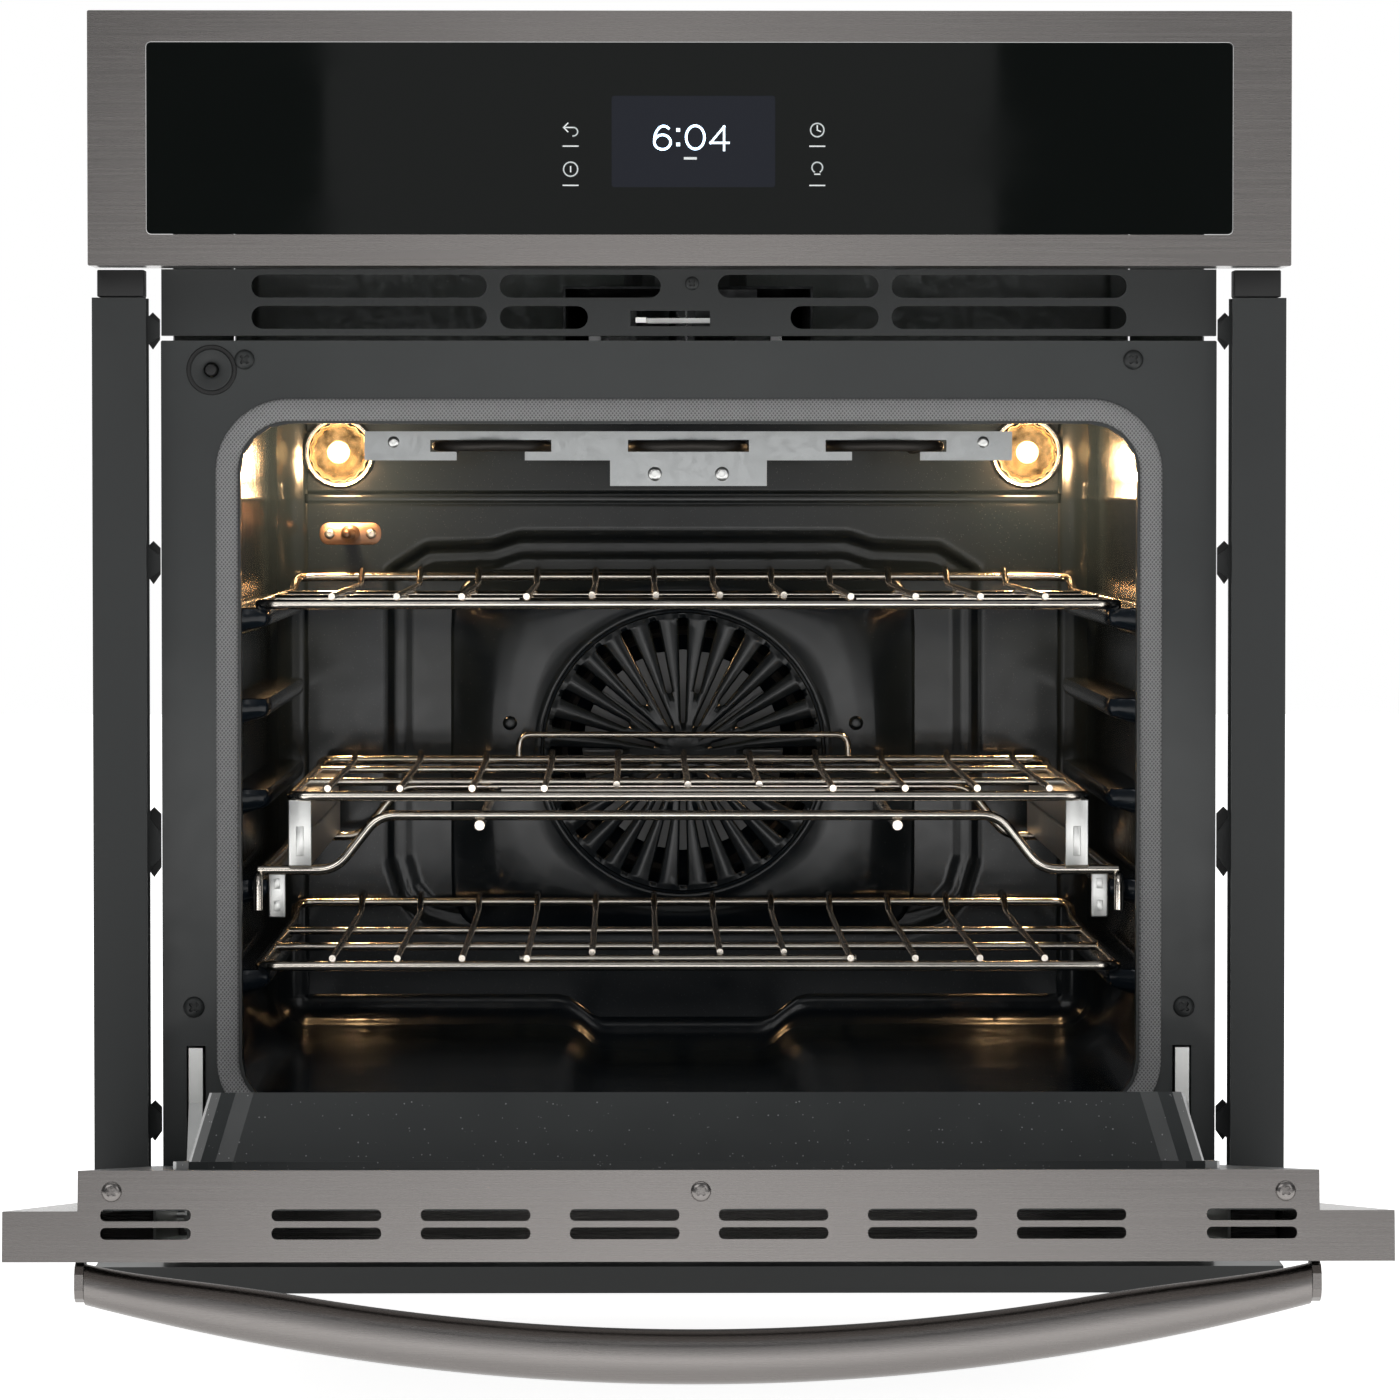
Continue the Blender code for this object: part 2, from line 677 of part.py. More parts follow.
def make_cavity(kit):
    deep = (CAVITY_FRONT_Y, CAVITY_BACK_Y - GAP)
    shape_object(
        "cavity_floor", lambda bm: prism(bm, floor_outline(), "Y", deep), kit["enamel"]
    )
    shape_object(
        "cavity_ceiling",
        lambda bm: box(
            bm,
            (-CAVITY_HALF + GAP, CAVITY_HALF - GAP),
            deep,
            (CAVITY_TOP, CAVITY_TOP + ENAMEL_SHEET),
        ),
        kit["enamel"],
    )
    wall_z = (CAVITY_FLOOR - ENAMEL_SHEET, CAVITY_TOP + ENAMEL_SHEET)
    for side, sign in SIDES:
        x = sorted((sign * CAVITY_HALF, sign * (CAVITY_HALF + ENAMEL_SHEET)))
        wall = shape_object(
            f"cavity_wall_{side}", lambda bm, x=x: box(bm, x, deep, wall_z), kit["enamel"]
        )
        join(wall, "ledges", lambda bm, sign=sign: ledges(bm, sign))
    outer = CAVITY_HALF + ENAMEL_SHEET
    back = shape_object(
        "cavity_back",
        lambda bm: box(
            bm,
            (-outer, outer),
            (CAVITY_BACK_Y, CAVITY_BACK_Y + ENAMEL_SHEET),
            (WELL_FLOOR - ENAMEL_SHEET, CAVITY_TOP + ENAMEL_SHEET),
        ),
        kit["enamel"],
        smooth=40,
    )
    join(
        back,
        "fan_well",
        lambda bm: cylinder(
            bm,
            (0, FAN_Z),
            FAN_WELL_RADIUS + ENAMEL_SHEET,
            "Y",
            (CAVITY_BACK_Y + ENAMEL_SHEET / 2, well_bottom() + ENAMEL_SHEET),
            40,
        ),
    )
    cut(back, "holes", back_cuts)
    cut(back, "shaft_holes", well_cuts)


def make_insulation(kit):
    """The mineral-wool jacket round the cavity, open at the front."""
    back = CAVITY_BACK_Y + ENAMEL_SHEET + INSULATION_CLEARANCE
    low = WELL_FLOOR - 0.042
    jacket = shape_object(
        "insulation_jacket",
        lambda bm: tray(
            bm,
            (-INSULATION_HALF, INSULATION_HALF),
            (FACE_Y + 0.058, back + INSULATION),
            (low, INSULATION_TOP),
            INSULATION,
            "-Y",
        ),
        kit["wool"],
    )

    def holes(bm):
        span = (back - 0.02, back + INSULATION + 0.02)
        cylinder(bm, (0, FAN_Z), FAN_WELL_RADIUS + ENAMEL_SHEET + 0.004, "Y", span, 24)
        for _, sign in SIDES:
            cylinder(bm, (sign * LAMP_X, LAMP_Z), LAMP_RADIUS + 0.001, "Y", span, 16)

    cut(jacket, "holes", holes)


# ---------------------------------------------------------------- heating elements
def serpentine(z, front_y, back_y, steps=4):
    """Three forward loops of heating rod, joined at the back, with both ends running out behind."""
    legs = []
    for loop in (-1, 0, 1):
        legs += [loop * ELEMENT_LOOP_PITCH - ELEMENT_LOOP / 2, loop * ELEMENT_LOOP_PITCH + ELEMENT_LOOP / 2]
    path = [(legs[0], back_y + 0.030, z)]
    for i in range(0, len(legs), 2):
        radius = (legs[i + 1] - legs[i]) / 2
        turn = arc((legs[i] + radius, front_y + radius), radius, 180, 360, 2 * steps)
        path += [(x, y, z) for x, y in turn]
        if i + 2 < len(legs):
            back_radius = (legs[i + 2] - legs[i + 1]) / 2
            turn = arc((legs[i + 1] + back_radius, back_y - back_radius), back_radius, 180, 0, steps)
            path += [(x, y, z) for x, y in turn]
    path.append((legs[-1], back_y + 0.030, z))
    return path


def bracket_outline():
    """The support strip seen from the front, with its deeper middle plate."""
    half, plate = BRACKET_HALF_WIDTH, BRACKET_PLATE_HALF_WIDTH
    top = ELEMENT_Z + BRACKET_HEIGHT / 2
    low = ELEMENT_Z - BRACKET_HEIGHT / 2
    return [
        (-half, top),
        (-half, low),
        (-plate, low),
        (-plate, low - BRACKET_PLATE_DROP),
        (plate, low - BRACKET_PLATE_DROP),
        (plate, low),
        (half, low),
        (half, top),
    ]


def bracket_slots(bm):
    """One slot for each loop; the outer two are open below in the middle."""
    front = FACE_Y + ELEMENT_FRONT - 0.004
    slot_half = ELEMENT_ROD + GAP
    for loop in (-1, 0, 1):
        x = loop * ELEMENT_LOOP_PITCH
        reach = ELEMENT_LOOP / 2 + ELEMENT_ROD + GAP
        spans = [(x - reach, x - 0.020), (x - 0.020, x + 0.020), (x + 0.020, x + reach)]
        floor = ELEMENT_Z - slot_half
        outline = [(spans[0][0], floor), (spans[1][0], floor)]
        if loop:
            outline += [(spans[1][0], floor - 0.03), (spans[1][1], floor - 0.03)]
        outline += [(spans[1][1], floor), (spans[2][1], floor)]
        outline += [(spans[2][1], ELEMENT_Z + slot_half), (spans[0][0], ELEMENT_Z + slot_half)]
        prism(bm, outline, "Y", (front - 0.01, front + 0.030))


def make_elements(kit):
    front = FACE_Y + ELEMENT_FRONT - 0.004
    back = CAVITY_BACK_Y - ELEMENT_BACK
    shape_object(
        "broil_element",
        lambda bm: tube(bm, serpentine(ELEMENT_Z, front - 0.001, back), ELEMENT_ROD),
        kit["element"],
        smooth=60,
    )
    bracket_y = front + 0.006
    bracket = shape_object(
        "broil_bracket",
        lambda bm: prism(bm, bracket_outline(), "Y", (bracket_y, bracket_y + BRACKET_SHEET)),
        kit["galvanised"],
    )
    top = ELEMENT_Z + BRACKET_HEIGHT / 2
    join(
        bracket,
        "flange",
        lambda bm: box(
            bm,
            (-BRACKET_HALF_WIDTH + 0.002, BRACKET_HALF_WIDTH - 0.002),
            (bracket_y + BRACKET_SHEET / 2, bracket_y + BRACKET_FLANGE),
            (top - BRACKET_SHEET, top - GAP / 2),
        ),
    )
    cut(bracket, "slots", bracket_slots)
    bake_z = WELL_FLOOR - ENAMEL_SHEET - BAKE_BELOW_WELL
    shape_object(
        "bake_element",
        lambda bm: tube(bm, serpentine(bake_z, FACE_Y + 0.080, back), ELEMENT_ROD),
        kit["element"],
        smooth=60,
    )

    def ring_element(bm):
        y = CAVITY_BACK_Y + 0.018
        turn = arc((0, FAN_Z), RING_ELEMENT_RADIUS, -81, 261, 24)
        path = [(turn[0][0], well_bottom() + 0.016, turn[0][1])]
        path += [(x, y, z) for x, z in turn]
        path.append((turn[-1][0], well_bottom() + 0.016, turn[-1][1]))
        tube(bm, path, ELEMENT_ROD)

    shape_object("convection_element", ring_element, kit["element"], smooth=60)


# ---------------------------------------------------------------- fans
def fan_slot_outline(index):
    """A radial slot, wider outside; every second one starts nearer the middle."""
    angle = 360 * index / FAN_SLOTS + 180 / FAN_SLOTS
    start = 0.030 if index % 2 else 0.044
    end = FAN_COVER_RADIUS - 0.007
    outline = []
    for radius, half in ((start, 0.0016), (end, 0.0042)):
        outline.append((radius, -half))
        outline.append((radius, half))
    outline = [outline[0], outline[2], outline[3], outline[1]]
    turn = math.radians(angle)
    return [
        (
            r * math.cos(turn) - s * math.sin(turn),
            FAN_Z + r * math.sin(turn) + s * math.cos(turn),
        )
        for r, s in outline
    ]


def bladed_wheel(name, material, pivot, blade, rim, hub, shaft, sides, blades):
    """A fan wheel drawn along +Z from its back plate, then turned onto the pivot's own axis."""

    def disc(bm):
        cylinder(bm, (0, 0), rim, "Z", (0, 0.0015), sides)

    def vanes(bm):
        for i in range(blades):
            vane = bmesh.new()
            box(vane, (hub + 0.010, rim - 0.002), (-0.0006, 0.0006), (0.001, blade))
            bmesh.ops.rotate(
                vane, verts=vane.verts, matrix=Matrix.Rotation(2 * math.pi * i / blades, 3, "Z")
            )
            mesh = bpy.data.meshes.new("vane")
            vane.to_mesh(mesh)
            bm.from_mesh(mesh)
            vane.free()
            bpy.data.meshes.remove(mesh)

    wheel = shape_object(name, disc, material, smooth=40)
    wheel.parent = pivot
    for part, shapes in (
        ("vanes", vanes),
        ("hub", lambda bm: cylinder(bm, (0, 0), hub, "Z", (0.0005, blade * 0.8), 12)),
        ("shaft", lambda bm: cylinder(bm, (0, 0), SHAFT_RADIUS, "Z", (-shaft, 0.001), 12)),
    ):
        helper = shape_object(f"{name}_{part}", shapes)
        helper.parent = pivot
        helper.hide_render = True
        helper.display_type = "WIRE"
        modifier = wheel.modifiers.new(part, "BOOLEAN")
        modifier.operation = "UNION"
        modifier.object = helper
    return wheel


def motor(bm, centre, axis, span, bore, radius):
    """A motor can with a bore in its near end for the shaft."""
    near, far = span
    sign = 1 if far > near else -1
    outer = arc(centre, radius, 0, 360 - 15, 23)
    inner = arc(centre, SHAFT_RADIUS + SHAFT_CLEARANCE, 0, 360 - 15, 23)
    floor = near + sign * bore
    rows = []
    for outline, along in ((inner, floor), (inner, near), (outer, near), (outer, far)):
        rows.append([bm.verts.new(place(axis, a, b, along)) for a, b in outline])
    for i in range(3):
        for j in range(24):
            k = (j + 1) % 24
            bm.faces.new((rows[i][j], rows[i][k], rows[i + 1][k], rows[i + 1][j]))
    bm.faces.new(rows[0])
    bm.faces.new(rows[3])


def make_convection(kit):
    back = CAVITY_BACK_Y - GAP
    cover = shape_object(
        "fan_cover",
        lambda bm: prism(
            bm,
            rounded_box_outline(
                (-FAN_PANEL_HALF_WIDTH, FAN_PANEL_HALF_WIDTH),
                (FAN_Z - FAN_PANEL_HALF_HEIGHT, FAN_Z + FAN_PANEL_HALF_HEIGHT),
                0.030,
            ),
            "Y",
            (back - FAN_PANEL_SHEET, back),
        ),
        kit["enamel"],
    )

    def slots(bm):
        for index in range(FAN_SLOTS):
            prism(bm, fan_slot_outline(index), "Y", (back - 0.01, back + 0.01))

    cut(cover, "slots", slots)
    plate_y = well_bottom() - 0.006
    pivot = pivot_empty("convection_fan_axis", (0, plate_y, FAN_Z), (90, 0, 0))
    shaft = well_bottom() + ENAMEL_SHEET + 0.020 - plate_y
    bladed_wheel(
        "convection_fan", kit["aluminium"], pivot, FAN_DEPTH, FAN_RADIUS, 0.012, shaft, 24, FAN_BLADES
    )
    near = well_bottom() + ENAMEL_SHEET + 0.003
    shape_object(
        "convection_motor",
        lambda bm: motor(bm, (0, FAN_Z), "Y", (near, REAR_Y - 0.012), 0.019, MOTOR_RADIUS),
        kit["galvanised"],
        smooth=40,
    )


def make_blower(kit):
    """The cooling blower over the cavity, blowing forward to the vent trim."""
    low = INSULATION_TOP + 0.004
    high = low + BLOWER_HEIGHT
    centre_y = 0.0
    outer = BLOWER_RADIUS + 0.012
    mouth_y = FACE_Y + 0.090

    def scroll(radius, front, half):
        return arc((0, centre_y), radius, 0, 180, 10) + [(-half, front), (half, front)]

    body = shape_object(
        "blower_housing",
        lambda bm: prism(bm, scroll(outer, mouth_y, outer), "Z", (low, high)),
        kit["galvanised"],
        smooth=40,
    )
    wall = BLOWER_WALL
    cut(
        body,
        "inside",
        lambda bm: prism(
            bm, scroll(outer - wall, mouth_y - 0.01, outer - wall), "Z", (low + wall, high - wall)
        ),
    )
    cut(
        body,
        "inlet",
        lambda bm: cylinder(bm, (0, centre_y), BLOWER_RADIUS * 0.55, "Z", (high - 0.01, high + 0.01), 20),
    )
    pivot = pivot_empty("blower_axis", (0, centre_y, high - wall - 0.006), (180, 0, 0))
    shaft = 0.006 + wall + 0.020
    bladed_wheel(
        "blower_wheel",
        kit["aluminium"],
        pivot,
        BLOWER_HEIGHT - 2 * wall - 0.012,
        BLOWER_RADIUS,
        0.012,
        shaft,
        20,
        12,
    )
    shape_object(
        "blower_motor",
        lambda bm: motor(bm, (0, centre_y), "Z", (high + 0.004, high + 0.052), 0.019, 0.038),
        kit["galvanised"],
        smooth=40,
    )


# ---------------------------------------------------------------- lamps and sensor
def make_lamps(kit):
    for side, sign in SIDES:
        x = sign * LAMP_X

        def dome(bm, x=x):
            front = CAVITY_BACK_Y - LAMP_DEPTH
            base = CAVITY_BACK_Y - GAP
            straight = base - 0.012
            rows = []
            profile = [(LAMP_RADIUS, base), (LAMP_RADIUS, straight)]
            for angle in (30, 60):
                turn = math.radians(angle)
                profile.append(
                    (LAMP_RADIUS * math.cos(turn), straight + (front - straight) * math.sin(turn))
                )
            for radius, y in profile:
                outline = arc((x, LAMP_Z), radius, 0, 360 - 20, 17)
                rows.append([bm.verts.new((a, y, b)) for a, b in outline])
            for i in range(len(rows) - 1):
                for j in range(18):
                    k = (j + 1) % 18
                    bm.faces.new((rows[i][j], rows[i][k], rows[i + 1][k], rows[i + 1][j]))
            tip = bm.verts.new((x, front, LAMP_Z))
            for j in range(18):
                bm.faces.new((rows[-1][j], rows[-1][(j + 1) % 18], tip))
            bm.faces.new(rows[0])

        shape_object(f"lamp_lens_{side}", dome, kit["lens"], smooth=50)
        rear = CAVITY_BACK_Y + ENAMEL_SHEET + GAP
        shape_object(
            f"lamp_holder_{side}",
            lambda bm, x=x: cylinder(bm, (x, LAMP_Z), LAMP_RADIUS - 0.001, "Y", (rear, rear + 0.034), 18),
            kit["ceramic"],
            smooth=40,
        )


def make_sensor(kit):
    x = -CAVITY_HALF + SENSOR_INSET
    z = CAVITY_TOP - SENSOR_BELOW_TOP
    plate_back = CAVITY_BACK_Y - GAP
    sensor = shape_object(
        "temperature_sensor",
        lambda bm: box(
            bm, (x - 0.020, x + 0.020), (plate_back - 0.0015, plate_back), (z - 0.0072, z + 0.0072)
        ),
        kit["copper"],
    )
    join(
        sensor,
        "probe",
        lambda bm: cylinder(bm, (x, z), 0.0032, "Y", (plate_back - 0.060, plate_back - 0.001), 10),
    )


# ---------------------------------------------------------------- racks
def wire_rack(name, material, half, ledge_z, back_y, rise, rails, tines, margin, pivot):
    """A rack of one rod loop, cross rails and tines that lie over them and climb at the back."""
    rod_z = ledge_z + GAP + RACK_ROD
    front = RACK_FRONT_Y
    foot_y = back_y - RACK_RISE_RUN
    tine_z = rod_z + RACK_ROD + RACK_TINE_ROD - WIRE_SINK
    rail_z = tine_z - RACK_TINE_ROD - RACK_RAIL_ROD + WIRE_SINK
    pitch = 2 * (half - margin) / (tines - 1)
    corners = [
        (-half, front, rod_z),
        (half, front, rod_z),
        (half, foot_y, rod_z),
        (half, back_y - 0.001, rod_z + rise),
        (-half, back_y - 0.001, rod_z + rise),
        (-half, foot_y, rod_z),
    ]
    loop = rounded_path(corners, RACK_CORNER / 2, 3, closed=True)
    rack = shape_object(
        name, lambda bm: tube(bm, loop, RACK_ROD, closed=True), material, pivot, smooth=60
    )

    def cross_rails(bm):
        for setback in rails:
            tube(bm, [(-half, front + setback, rail_z), (half, front + setback, rail_z)], RACK_RAIL_ROD)
        short = 2.5 * pitch + 0.005
        y = front + SHORT_RAIL_SETBACK
        tube(bm, [(-short, y, rail_z), (short, y, rail_z)], RACK_RAIL_ROD)

    def tine_wires(bm):
        middle = (tines - 1) / 2
        for i in range(tines):
            x = (i - middle) * pitch
            start = front - 0.002
            if abs(i - middle) < 2:
                start += SHORT_RAIL_SETBACK
            path = [
                (x, start, tine_z),
                (x, foot_y, tine_z),
                (x, back_y - 0.006, tine_z + rise),
                (x, back_y + 0.003, tine_z + rise),
            ]
            tube(bm, path, RACK_TINE_ROD)

    join(rack, "rails", cross_rails)
    join(rack, "tines", tine_wires)
    return rack


def make_glide(kit):
    """The full-width glide rack: a wire rack on two runners, over a cradle that hangs on the ledges."""
    shelf = ledge_top(GLIDE_LEDGE)
    half = CAVITY_HALF - GLIDE_SIDE_INSET
    back = RACK_BACK_Y
    front = RACK_FRONT_Y
    rack_back = back - GLIDE_BACK_SETBACK
    wire_z = shelf + GAP + RACK_ROD
    channel_low = wire_z + 0.003 + RACK_ROD - WIRE_SINK
    rod_z = shelf + GLIDE_RISE
    x_out = half + 0.0015
    x_in = x_out - SLIDE_WIDTH

    pivot = pivot_empty("glide_rack_axis", (0, front, rod_z))
    rack = wire_rack(
        "glide_rack",
        kit["chrome"],
        half,
        rod_z - GAP - RACK_ROD,
        rack_back,
        RACK_RISE / 2,
        GLIDE_RAILS,
        GLIDE_TINES,
        TINE_MARGIN / 2,
        pivot,
    )
    runner_top = rod_z - RACK_ROD + WIRE_SINK + 0.0003
    runner_low = runner_top - SLIDE_HEIGHT / 2

    def runners(bm):
        for _, sign in SIDES:
            x = sorted((sign * x_in, sign * x_out))
            outline = [
                (front + 0.001, channel_low),
                (front + 0.003, channel_low),
                (front + 0.003, runner_low),
                (rack_back - 0.030, runner_low),
                (rack_back - 0.030, runner_top),
                (front + 0.001, runner_top),
            ]
            prism(bm, outline, "X", x)

    def guard(bm):
        top = rod_z + RACK_RISE / 2 + GUARD_HEIGHT
        y = rack_back - 0.001
        path = rounded_path(
            [
                (-GUARD_HALF_WIDTH, y, rod_z + RACK_RISE / 2),
                (-GUARD_HALF_WIDTH, y, top),
                (GUARD_HALF_WIDTH, y, top),
                (GUARD_HALF_WIDTH, y, rod_z + RACK_RISE / 2),
            ],
            0.008,
        )
        tube(bm, path, RACK_TINE_ROD)

    join(rack, "runners", runners)
    join(rack, "guard", guard)

    side_x = RACK_HALF + 0.0005
    wire_y = front + 0.008
    rear_y = rack_back - 0.012
    arch_z = wire_z + 0.003 + CRADLE_ARCH
    low_z = wire_z + 0.003
    flat_x = CAVITY_HALF - CRADLE_ARCH_INSET + 0.007

    def side_rods(bm):
        for _, sign in SIDES:
            path = rounded_path(
                [
                    (sign * side_x, front, wire_z - 0.020),
                    (sign * side_x, front, wire_z),
                    (sign * side_x, rear_y + 0.008, wire_z),
                ],
                0.006,
            )
            tube(bm, path, RACK_ROD)

    def cross_wire(bm, y):
        path = [
            (-side_x, y, low_z),
            (-flat_x, y, low_z),
            (-flat_x + CRADLE_ARCH_SLOPE, y, arch_z),
            (flat_x - CRADLE_ARCH_SLOPE, y, arch_z),
            (flat_x, y, low_z),
            (side_x, y, low_z),
        ]
        tube(bm, rounded_path(path, 0.010), RACK_ROD)

    def cross_wires(bm):
        cross_wire(bm, wire_y)
        cross_wire(bm, rear_y)

    def long_wires(bm):
        z = arch_z - 2 * RACK_ROD + WIRE_SINK
        for _, sign in SIDES:
            x = sign * CRADLE_WIRE_X
            tube(bm, [(x, wire_y - 0.006, z), (x, rear_y + 0.006, z)], RACK_ROD)

    def channels(bm):
        for _, sign in SIDES:
            x = sorted((sign * x_in, sign * x_out))
            box(bm, x, (front + 0.004, rear_y + 0.004), (channel_low, runner_low - GAP))

    def hooks(bm):
        for _, sign in SIDES:
            x = sorted((sign * (LEDGE_HALF - 0.0105), sign * (LEDGE_HALF - 0.0005)))
            y = wire_y
            box(bm, x, (y - 0.001, y + 0.001), (low_z - 0.028, low_z + 0.001))

    cradle = shape_object("glide_cradle", cross_wires, kit["chrome"], smooth=60)
    for part, shapes in (
        ("side_rods", side_rods),
        ("long_wires", long_wires),
        ("channels", channels),
        ("hooks", hooks),
    ):
        join(cradle, part, shapes)


def make_racks(kit):
    for name, index in (("rack_upper", UPPER_RACK_LEDGE), ("rack_lower", LOWER_RACK_LEDGE)):
        shelf = ledge_top(index)
        pivot = pivot_empty(f"{name}_axis", (0, RACK_FRONT_Y, shelf))
        wire_rack(
            name,
            kit["chrome"],
            RACK_HALF,
            shelf,
            RACK_BACK_Y,
            RACK_RISE,
            RACK_RAILS,
            RACK_TINES,
            TINE_MARGIN,
            pivot,
        )


# ---------------------------------------------------------------- trims and control panel
def slot_outline(x, z):
    """A slot with fully round ends."""
    return rounded_box_outline(x, z, (z[1] - z[0]) / 2 - GAP)


def vent_slots(bm):
    """Two rows of air slots and the slot that the latch reaches through."""
    deep = (FACE_Y - 0.01, FACE_Y + 0.006)
    outer = (VENT_SLOT_STEP, FRAME_HALF - VENT_SLOT_END)
    inner_end = VENT_SLOT_STEP - VENT_SLOT_LAND
    rows = (
        (VENT_BOTTOM + 0.0220, ((VENT_CENTRE_LAND, inner_end), outer)),
        (VENT_BOTTOM + 0.0040, ((VENT_LATCH_LAND, inner_end), outer)),
    )
    for low, spans in rows:
        for span in spans:
            for _, sign in SIDES:
                x = sorted(sign * end for end in span)
                prism(bm, slot_outline(x, (low, low + VENT_SLOT_HEIGHT)), "Y", deep)
    latch_low = LATCH_Z - 0.0030
    box(bm, (LATCH_SLOT[0], LATCH_SLOT[1]), deep, (latch_low, latch_low + 0.009))


def make_vent_trim(kit):
    half = FRAME_HALF - 0.0003
    trim = shape_object(
        "vent_trim",
        lambda bm: tray(
            bm, (-half, half), (FACE_Y, FACE_Y + VENT_TRIM_DEPTH), (VENT_BOTTOM, VENT_TOP), 0.0015, "+Y"
        ),
        kit["painted"],
    )
    cut(trim, "slots", vent_slots)


def side_trim_outline(sign):
    """A channel open towards the chassis: front face, outer wall and the flange against the wall."""
    outer = HALF
    inner = FRAME_HALF + TRIM_INNER_GAP
    sheet = TRIM_SHEET
    points = [
        (inner, TRIM_FACE_Y),
        (outer, TRIM_FACE_Y),
        (outer, TRIM_BACK_Y),
        (inner, TRIM_BACK_Y),
        (inner, TRIM_BACK_Y - sheet),
        (outer - sheet, TRIM_BACK_Y - sheet),
        (outer - sheet, TRIM_FACE_Y + sheet),
        (inner, TRIM_FACE_Y + sheet),
    ]
    return [(sign * x, y) for x, y in points]


def trim_bridges(bm, sign):
    """The short tabs that carry the side trim from the edge of the front frame."""
    inner = FRAME_HALF + GAP
    outer = FRAME_HALF + TRIM_INNER_GAP + 0.004
    top = SIDE_TRIM_BOTTOM + side_trim_height()
    centres = (SIDE_TRIM_BOTTOM + 0.033, SIDE_TRIM_BOTTOM + 0.194, SIDE_TRIM_BOTTOM + 0.357, top - 0.018)
    for centre, half in zip(centres, (0.013, 0.020, 0.012, 0.011)):
        half = min(half, side_trim_height() / 16)
        outline = [
            (sign * inner, centre - half / 3),
            (sign * outer, centre - half),
            (sign * outer, centre + half),
            (sign * inner, centre + half / 3),
        ]
        prism(bm, outline, "Y", (TRIM_BACK_Y - TRIM_SHEET + 0.0002, TRIM_BACK_Y - 0.0002))


def side_trim_height():
    return PANEL_BOTTOM - SIDE_TRIM_TOP_DROP - SIDE_TRIM_BOTTOM


def make_trims(kit):
    z = (SIDE_TRIM_BOTTOM, SIDE_TRIM_BOTTOM + side_trim_height())
    for side, sign in SIDES:
        trim = shape_object(
            f"side_trim_{side}",
            lambda bm, sign=sign: prism(bm, side_trim_outline(sign), "Z", z),
            kit["painted"],
        )
        join(trim, "bridges", lambda bm, sign=sign: trim_bridges(bm, sign))
    shape_object(
        "bottom_trim",
        lambda bm: tray(
            bm, (-HALF, HALF), (TRIM_FACE_Y, TRIM_BACK_Y), (-TRIM_DROP, -0.0006), TRIM_SHEET, "+Y"
        ),
        kit["painted"],
    )


def make_panel(kit):
    sheet = TRIM_SHEET
    outer = ((-HALF, HALF), (PANEL_BOTTOM, PANEL_TOP), 0.001)
    inner = ((-HALF + sheet, HALF - sheet), (PANEL_BOTTOM + sheet, PANEL_TOP - sheet), 0.001)
    glass_half = HALF - PANEL_GLASS_SIDE
    glass_z = (PANEL_BOTTOM + PANEL_GLASS_END, PANEL_TOP - PANEL_GLASS_END)
    hole = (
        (-glass_half - GAP, glass_half + GAP),
        (glass_z[0] - GAP, glass_z[1] + GAP),
        0.003,
    )
    loops = [
        (*outer, DOOR_FACE_Y),
        (*outer, TRIM_BACK_Y),
        (*inner, TRIM_BACK_Y),
        (*inner, DOOR_FACE_Y + sheet),
        (*hole, DOOR_FACE_Y + sheet),
        (*hole, DOOR_FACE_Y),
    ]
    shape_object("control_frame", lambda bm: ring(bm, loops), kit["black_steel"])
    glass_face = DOOR_FACE_Y + 0.0002
    shape_object(
        "control_glass",
        lambda bm: prism(
            bm,
            rounded_box_outline((-glass_half, glass_half), glass_z, 0.0027),
            "Y",
            (glass_face, glass_face + GLASS),
        ),
        kit["glass"],
    )
    middle_z = (glass_z[0] + glass_z[1]) / 2
    module_y = glass_face + GLASS + GAP
    shape_object(
        "display_module",
        lambda bm: box(
            bm, (-0.080, 0.080), (module_y, module_y + 0.010), (middle_z - 0.030, middle_z + 0.030)
        ),
        kit["plastic"],
    )
    board_y = module_y + 0.010 + GAP
    shape_object(
        "control_board",
        lambda bm: box(
            bm, (-0.150, 0.150), (board_y, board_y + 0.0016), (middle_z - 0.045, middle_z + 0.045)
        ),
        kit["board"],
    )


# ---------------------------------------------------------------- hinges, latch and light switch
def hinge_arm_outline():
    """The arm from its eye on the pivot up and back through the frame slot, (y, z) from the pivot."""
    face = FACE_Y - PIVOT_Y
    back = FRAME_BACK_Y - PIVOT_Y
    low = HINGE_SLOT_BOTTOM + 0.003
    high = HINGE_SLOT_BOTTOM + HINGE_SLOT_HEIGHT - 0.001
    hook = back + 0.002
    deep = back + 0.021
    front = face - 0.0035
    eye = arc((0, 0), HINGE_EYE_RADIUS, 130, 330, 10)
    rest = [
        (face - 0.001, low),
        (hook, low),
        (hook, low - 0.008),
        (deep - 0.002, low - 0.008),
        (deep, low),
        (deep, high),
        (front, high),
        (front, high - 0.032),
        (0.012, 0.026),
    ]
    return eye + rest


def hinge_channel(bm, x):
    """A channel open towards the oven, which holds the hinge pin."""
    half = HINGE_CHANNEL_WIDTH / 2
    sheet = 0.0016
    front, back = PIVOT_Y - 0.0125, PIVOT_Y + 0.020
    outline = [
        (x - half, back),
        (x - half, front),
        (x + half, front),
        (x + half, back),
        (x + half - sheet, back),
        (x + half - sheet, front + sheet),
        (x - half + sheet, front + sheet),
        (x - half + sheet, back),
    ]
    low = DOOR_BOTTOM + LINER_BOTTOM_INSET + 0.002
    prism(bm, outline, "Z", (low, low + HINGE_CHANNEL_LENGTH))


